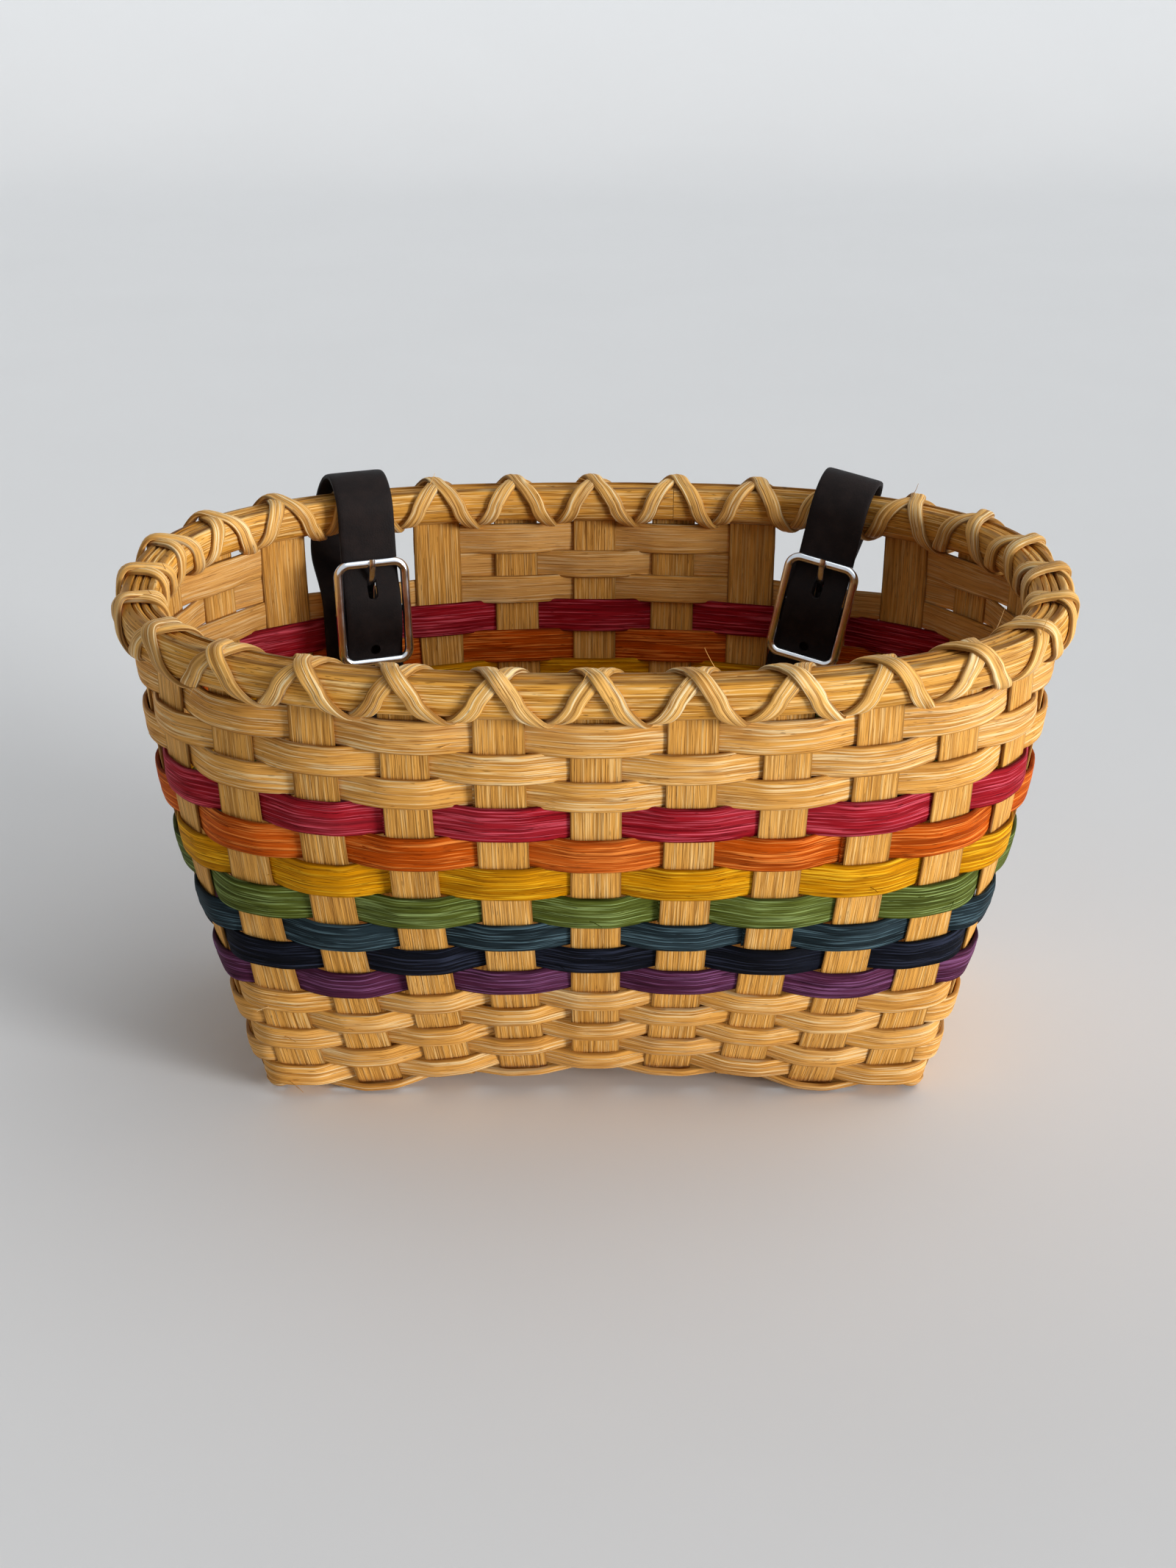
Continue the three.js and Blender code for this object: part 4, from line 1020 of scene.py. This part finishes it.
def wire_path(place, line, facing, share=1.0, closed=False):
    """Path of a wire given by points in the strap's own directions."""
    across, face = turned_frames(line, np.tile(facing, (len(line), 1)), closed)
    return strip_path(place.point(line), place.direction(across), place.direction(face), share, share, closed)


def respaced(line, step):
    walk = polyline_walk(line)
    return walked(line, walk, np.linspace(0, walk[-1], int(walk[-1] / step) + 1))


def cutter(place, low, high, width, near, far):
    """Bar with round ends between two levels and two depths, for a hole through the leather."""
    radius = width / 2
    top = [(radius, high - radius), *arced((0, high - radius), radius, 0, 180, steps=10)]
    outline = np.array(top + [(-x, low + high - z) for x, z in top])
    n = len(outline)
    rings = [np.stack([outline[:, 0], np.full(n, -depth), outline[:, 1]], 1) for depth in (near, far)]
    faces = [tuple(range(n))[::-1], tuple(range(n, 2 * n))]
    faces += [(i, (i + 1) % n, n + (i + 1) % n, n + i) for i in range(n)]
    return mesh_object("hole", place.point(np.concatenate(rings)) * MM, faces=faces)


def strap_piece(side, place, drift):
    """Leather band with a rounded tip, two spare holes and the slots for the tongue."""
    line = respaced(strap_line(), STRAP_STEP)
    walk = polyline_walk(line)
    over = walk[np.argmax(line[:, 1])]
    turned_up = walk[np.argmin(line[:, 1])]
    leaving = smoothstep(walk, over, over + DRIFT_START)
    returning = smoothstep(walk, turned_up + DRIFT_RETURN[0], turned_up + DRIFT_RETURN[1])
    tip = np.clip(walk / TIP_LENGTH, 0, 1)
    width_share = TIP_SHARE + (1 - TIP_SHARE) * np.sin(tip * np.pi / 2) ** TIP_POWER
    path = band_path(place, line, width_share, drift * leaving * (1 - returning))
    obj = swept(f"{side}_strap_leather", [path], "band", STRAP_WIDTH / 2, STRAP_THICKNESS / 2, LEATHER, 1.0)
    radius = HOLE_WIDTH / 2
    holes = [(level - radius, level + radius, HOLE_WIDTH, *depths) for level, depths in HOLE_DEPTHS.items()]
    cuts = [cutter(place, *hole) for hole in (*holes, *TONGUE_SLOTS)]
    for cut in cuts:
        hole = obj.modifiers.new("hole", "BOOLEAN")
        hole.operation, hole.object, hole.solver = "DIFFERENCE", cut, "EXACT"
    finish_mesh(obj)
    for cut in cuts:
        bpy.data.objects.remove(cut)
    claim(obj, f"{side}_strap", "black_leather", f"{side}_strap")


def buckle_piece(side, place):
    """Wire frame with round corners, and the bar that is set back behind it."""
    corners = box_line(BUCKLE_HALF_WIDTH, BUCKLE_HALF_HEIGHT, BUCKLE_CORNER, BUCKLE_CORNER_STEPS)
    loop = np.array([(x, -FRAME_DEPTH, BAR_MIDDLE + z) for x, z in corners])
    half = [(-BUCKLE_HALF_WIDTH, -FRAME_DEPTH + BAR_SINK), (-BUCKLE_HALF_WIDTH, -BAR_DEPTH - BAR_BEND)]
    half += arced((BAR_BEND - BUCKLE_HALF_WIDTH, -BAR_DEPTH - BAR_BEND), BAR_BEND, 180, 90, steps=3)
    bar = np.array([(x, y, BAR_MIDDLE) for x, y in half + [(-x, y) for x, y in reversed(half)]])
    paths = [wire_path(place, loop, [0, 1.0, 0], closed=True), wire_path(place, bar, UP, BAR_SHARE)]
    obj = swept(f"{side}_buckle_wire", paths, "round", BUCKLE_WIRE_RADIUS, BUCKLE_WIRE_RADIUS, NICKEL)
    claim(obj, f"{side}_strap", "bright_metal", f"{side}_buckle")


def corner_cut(line, rounds=2):
    """Takes the corners off a line and keeps its ends."""
    for _ in range(rounds):
        near, far = 0.75 * line[:-1] + 0.25 * line[1:], 0.25 * line[:-1] + 0.75 * line[1:]
        line = np.concatenate([line[:1], np.stack([near, far], 1).reshape(-1, 2), line[-1:]])
    return line


def tongue_piece(side, place):
    """Tongue with a ring round the bar, bent forward through the leather to lie on the frame."""
    rest = FRAME_DEPTH + BUCKLE_WIRE_RADIUS + TONGUE_HALF_THICKNESS + TONGUE_GAP
    line = arced((BAR_DEPTH, BAR_MIDDLE), TONGUE_RING, 135, 480, steps=23) + list(TONGUE_BENDS)
    line += [(rest, BAR_TOP + level) for level in TONGUE_REST_LEVELS]
    line = respaced(corner_cut(np.array(line)), TONGUE_STEP)
    walk = polyline_walk(line)
    width_share = 1 - TONGUE_TAPER * smoothstep(walk, walk[-1] - TONGUE_TAPER_RUN, walk[-1])
    path = band_path(place, line, width_share)
    obj = swept(f"{side}_tongue_metal", [path], "round", TONGUE_WIDTH / 2, TONGUE_HALF_THICKNESS, NICKEL)
    claim(obj, f"{side}_tongue", "bright_metal", f"{side}_tongue")


def rivet_piece(side, place):
    """Domed rivet through the fold, turned about its own line."""
    inner, outer = FOLD_END_DEPTH - RIVET_GRIP, CHAPE_DEPTH + RIVET_GRIP
    profile = [(r, inner - h) for r, h in RIVET_DOME] + [(r, outer + h) for r, h in reversed(RIVET_DOME)]
    rings = []
    for r, h in profile:
        angles = 2 * np.pi * np.arange(RIVET_STEPS if r else 1) / RIVET_STEPS
        rings.append([(r * math.cos(a), -h, RIVET_LEVEL + r * math.sin(a)) for a in angles])
    starts = np.cumsum([0] + [len(ring) for ring in rings])
    faces = []
    for i in range(len(rings) - 1):
        a, b = len(rings[i]), len(rings[i + 1])
        for j in range(RIVET_STEPS):
            k = (j + 1) % RIVET_STEPS
            quad = [starts[i] + j % a, starts[i] + k % a, starts[i + 1] + k % b, starts[i + 1] + j % b]
            faces.append(tuple(dict.fromkeys(int(q) for q in quad)))
    obj = mesh_object(f"{side}_rivet_metal", place.point(np.concatenate(rings)) * MM, faces=faces)
    obj.data.materials.append(NICKEL)
    finish_mesh(obj)
    claim(obj, f"{side}_strap", "bright_metal", f"{side}_rivet")


for side, (lean, shift, drift) in STRAP_HANG.items():
    place = StrapPlace(side, lean, shift)
    strap_piece(side, place, drift)
    buckle_piece(side, place)
    tongue_piece(side, place)
    rivet_piece(side, place)

for section in SECTIONS.values():
    bpy.data.objects.remove(section)

# Floor, backdrop, light and camera, in metres
FLOOR_REACH, WALL_DISTANCE, WALL_TOP, COVE_RADIUS = 16.0, 2.6, 3.5, 0.7
ROOM_LIGHT, SEEN_LIGHT = 0.21, 0.41
CAMERA_PLACE, CAMERA_AIM = (-0.0029, -0.97498, 0.53113), (-0.0029, 0, 0.10968)
CAMERA_LENS, CAMERA_SENSOR = 58.4, 36.0


def backdrop_finish():
    """Pale matt paper, a little cooler up the wall."""
    material, bench = new_finish("pale backdrop")
    place = bench.node("ShaderNodeTexCoord", {}, {}, "Object")
    height = bench.node("ShaderNodeSeparateXYZ", {}, {0: place}, "Z")
    mottle = bench.noise(place, scale=6.0, detail=3.0)
    tone = bench.mixed(mottle, srgb(231, 232, 233), srgb(235, 236, 237))
    tone = bench.mixed(bench.ranged(height, 0.0, 0.5), tone, srgb(224, 229, 233))
    close_finish(bench, {"Base Color": tone, "Roughness": 0.7, "Specular IOR Level": 0.2})
    return material


def backdrop():
    """Floor that curves up into a wall behind the basket."""
    floor_end = WALL_DISTANCE - COVE_RADIUS
    cove = arced((floor_end, COVE_RADIUS), COVE_RADIUS, -90, 0, steps=15)
    profile = [(-FLOOR_REACH, 0.0), (floor_end, 0.0), *cove, (WALL_DISTANCE, WALL_TOP)]
    points = [(x, y, z) for x in (-FLOOR_REACH, FLOOR_REACH) for y, z in profile]
    n = len(profile)
    made = mesh_object("backdrop", points, faces=[(i, n + i, n + i + 1, i + 1) for i in range(n - 1)])
    made.data.polygons.foreach_set("use_smooth", [True] * len(made.data.polygons))
    made.data.materials.append(backdrop_finish())


def lamp(name, source, spread, strength):
    """Far soft light from the direction of source, spread in degrees."""
    data = bpy.data.lights.new(name, "SUN")
    data.angle, data.energy = math.radians(spread), strength
    made = new_object(name, data)
    made.rotation_euler = Vector(source).to_track_quat("Z", "Y").to_euler()


def studio():
    """Soft even light, with a paler surround where it is seen or mirrored."""
    made = bpy.data.worlds.new("studio")
    made.use_nodes = True
    made.node_tree.nodes.clear()
    bench = Bench(made.node_tree)
    rays = bench.node("ShaderNodeLightPath")
    shown = bench.math("MAXIMUM", rays.output("Is Camera Ray"), rays.output("Is Glossy Ray"))
    shown = bench.math("MAXIMUM", shown, rays.output("Is Transmission Ray"))
    strength = ROOM_LIGHT + shown * SEEN_LIGHT
    light = bench.node("ShaderNodeBackground", {}, {"Color": (1, 1, 1, 1), "Strength": strength})
    bench.node("ShaderNodeOutputWorld", {}, {"Surface": light})
    bpy.context.scene.world = made


backdrop()
lamp("window light", source=(0.84, -0.53, 0.15), spread=22.0, strength=3.2)
lamp("top light", source=(0.9, -0.06, 1.25), spread=80.0, strength=1.06)
studio()

camera = new_object("camera", bpy.data.cameras.new("camera"))
camera.data.lens = CAMERA_LENS
camera.data.sensor_width = CAMERA_SENSOR
camera.location = CAMERA_PLACE
camera.rotation_euler = (Vector(CAMERA_AIM) - camera.location).to_track_quat("-Z", "Y").to_euler()
bpy.context.scene.camera = camera
bpy.context.scene.view_settings.view_transform = "Standard"
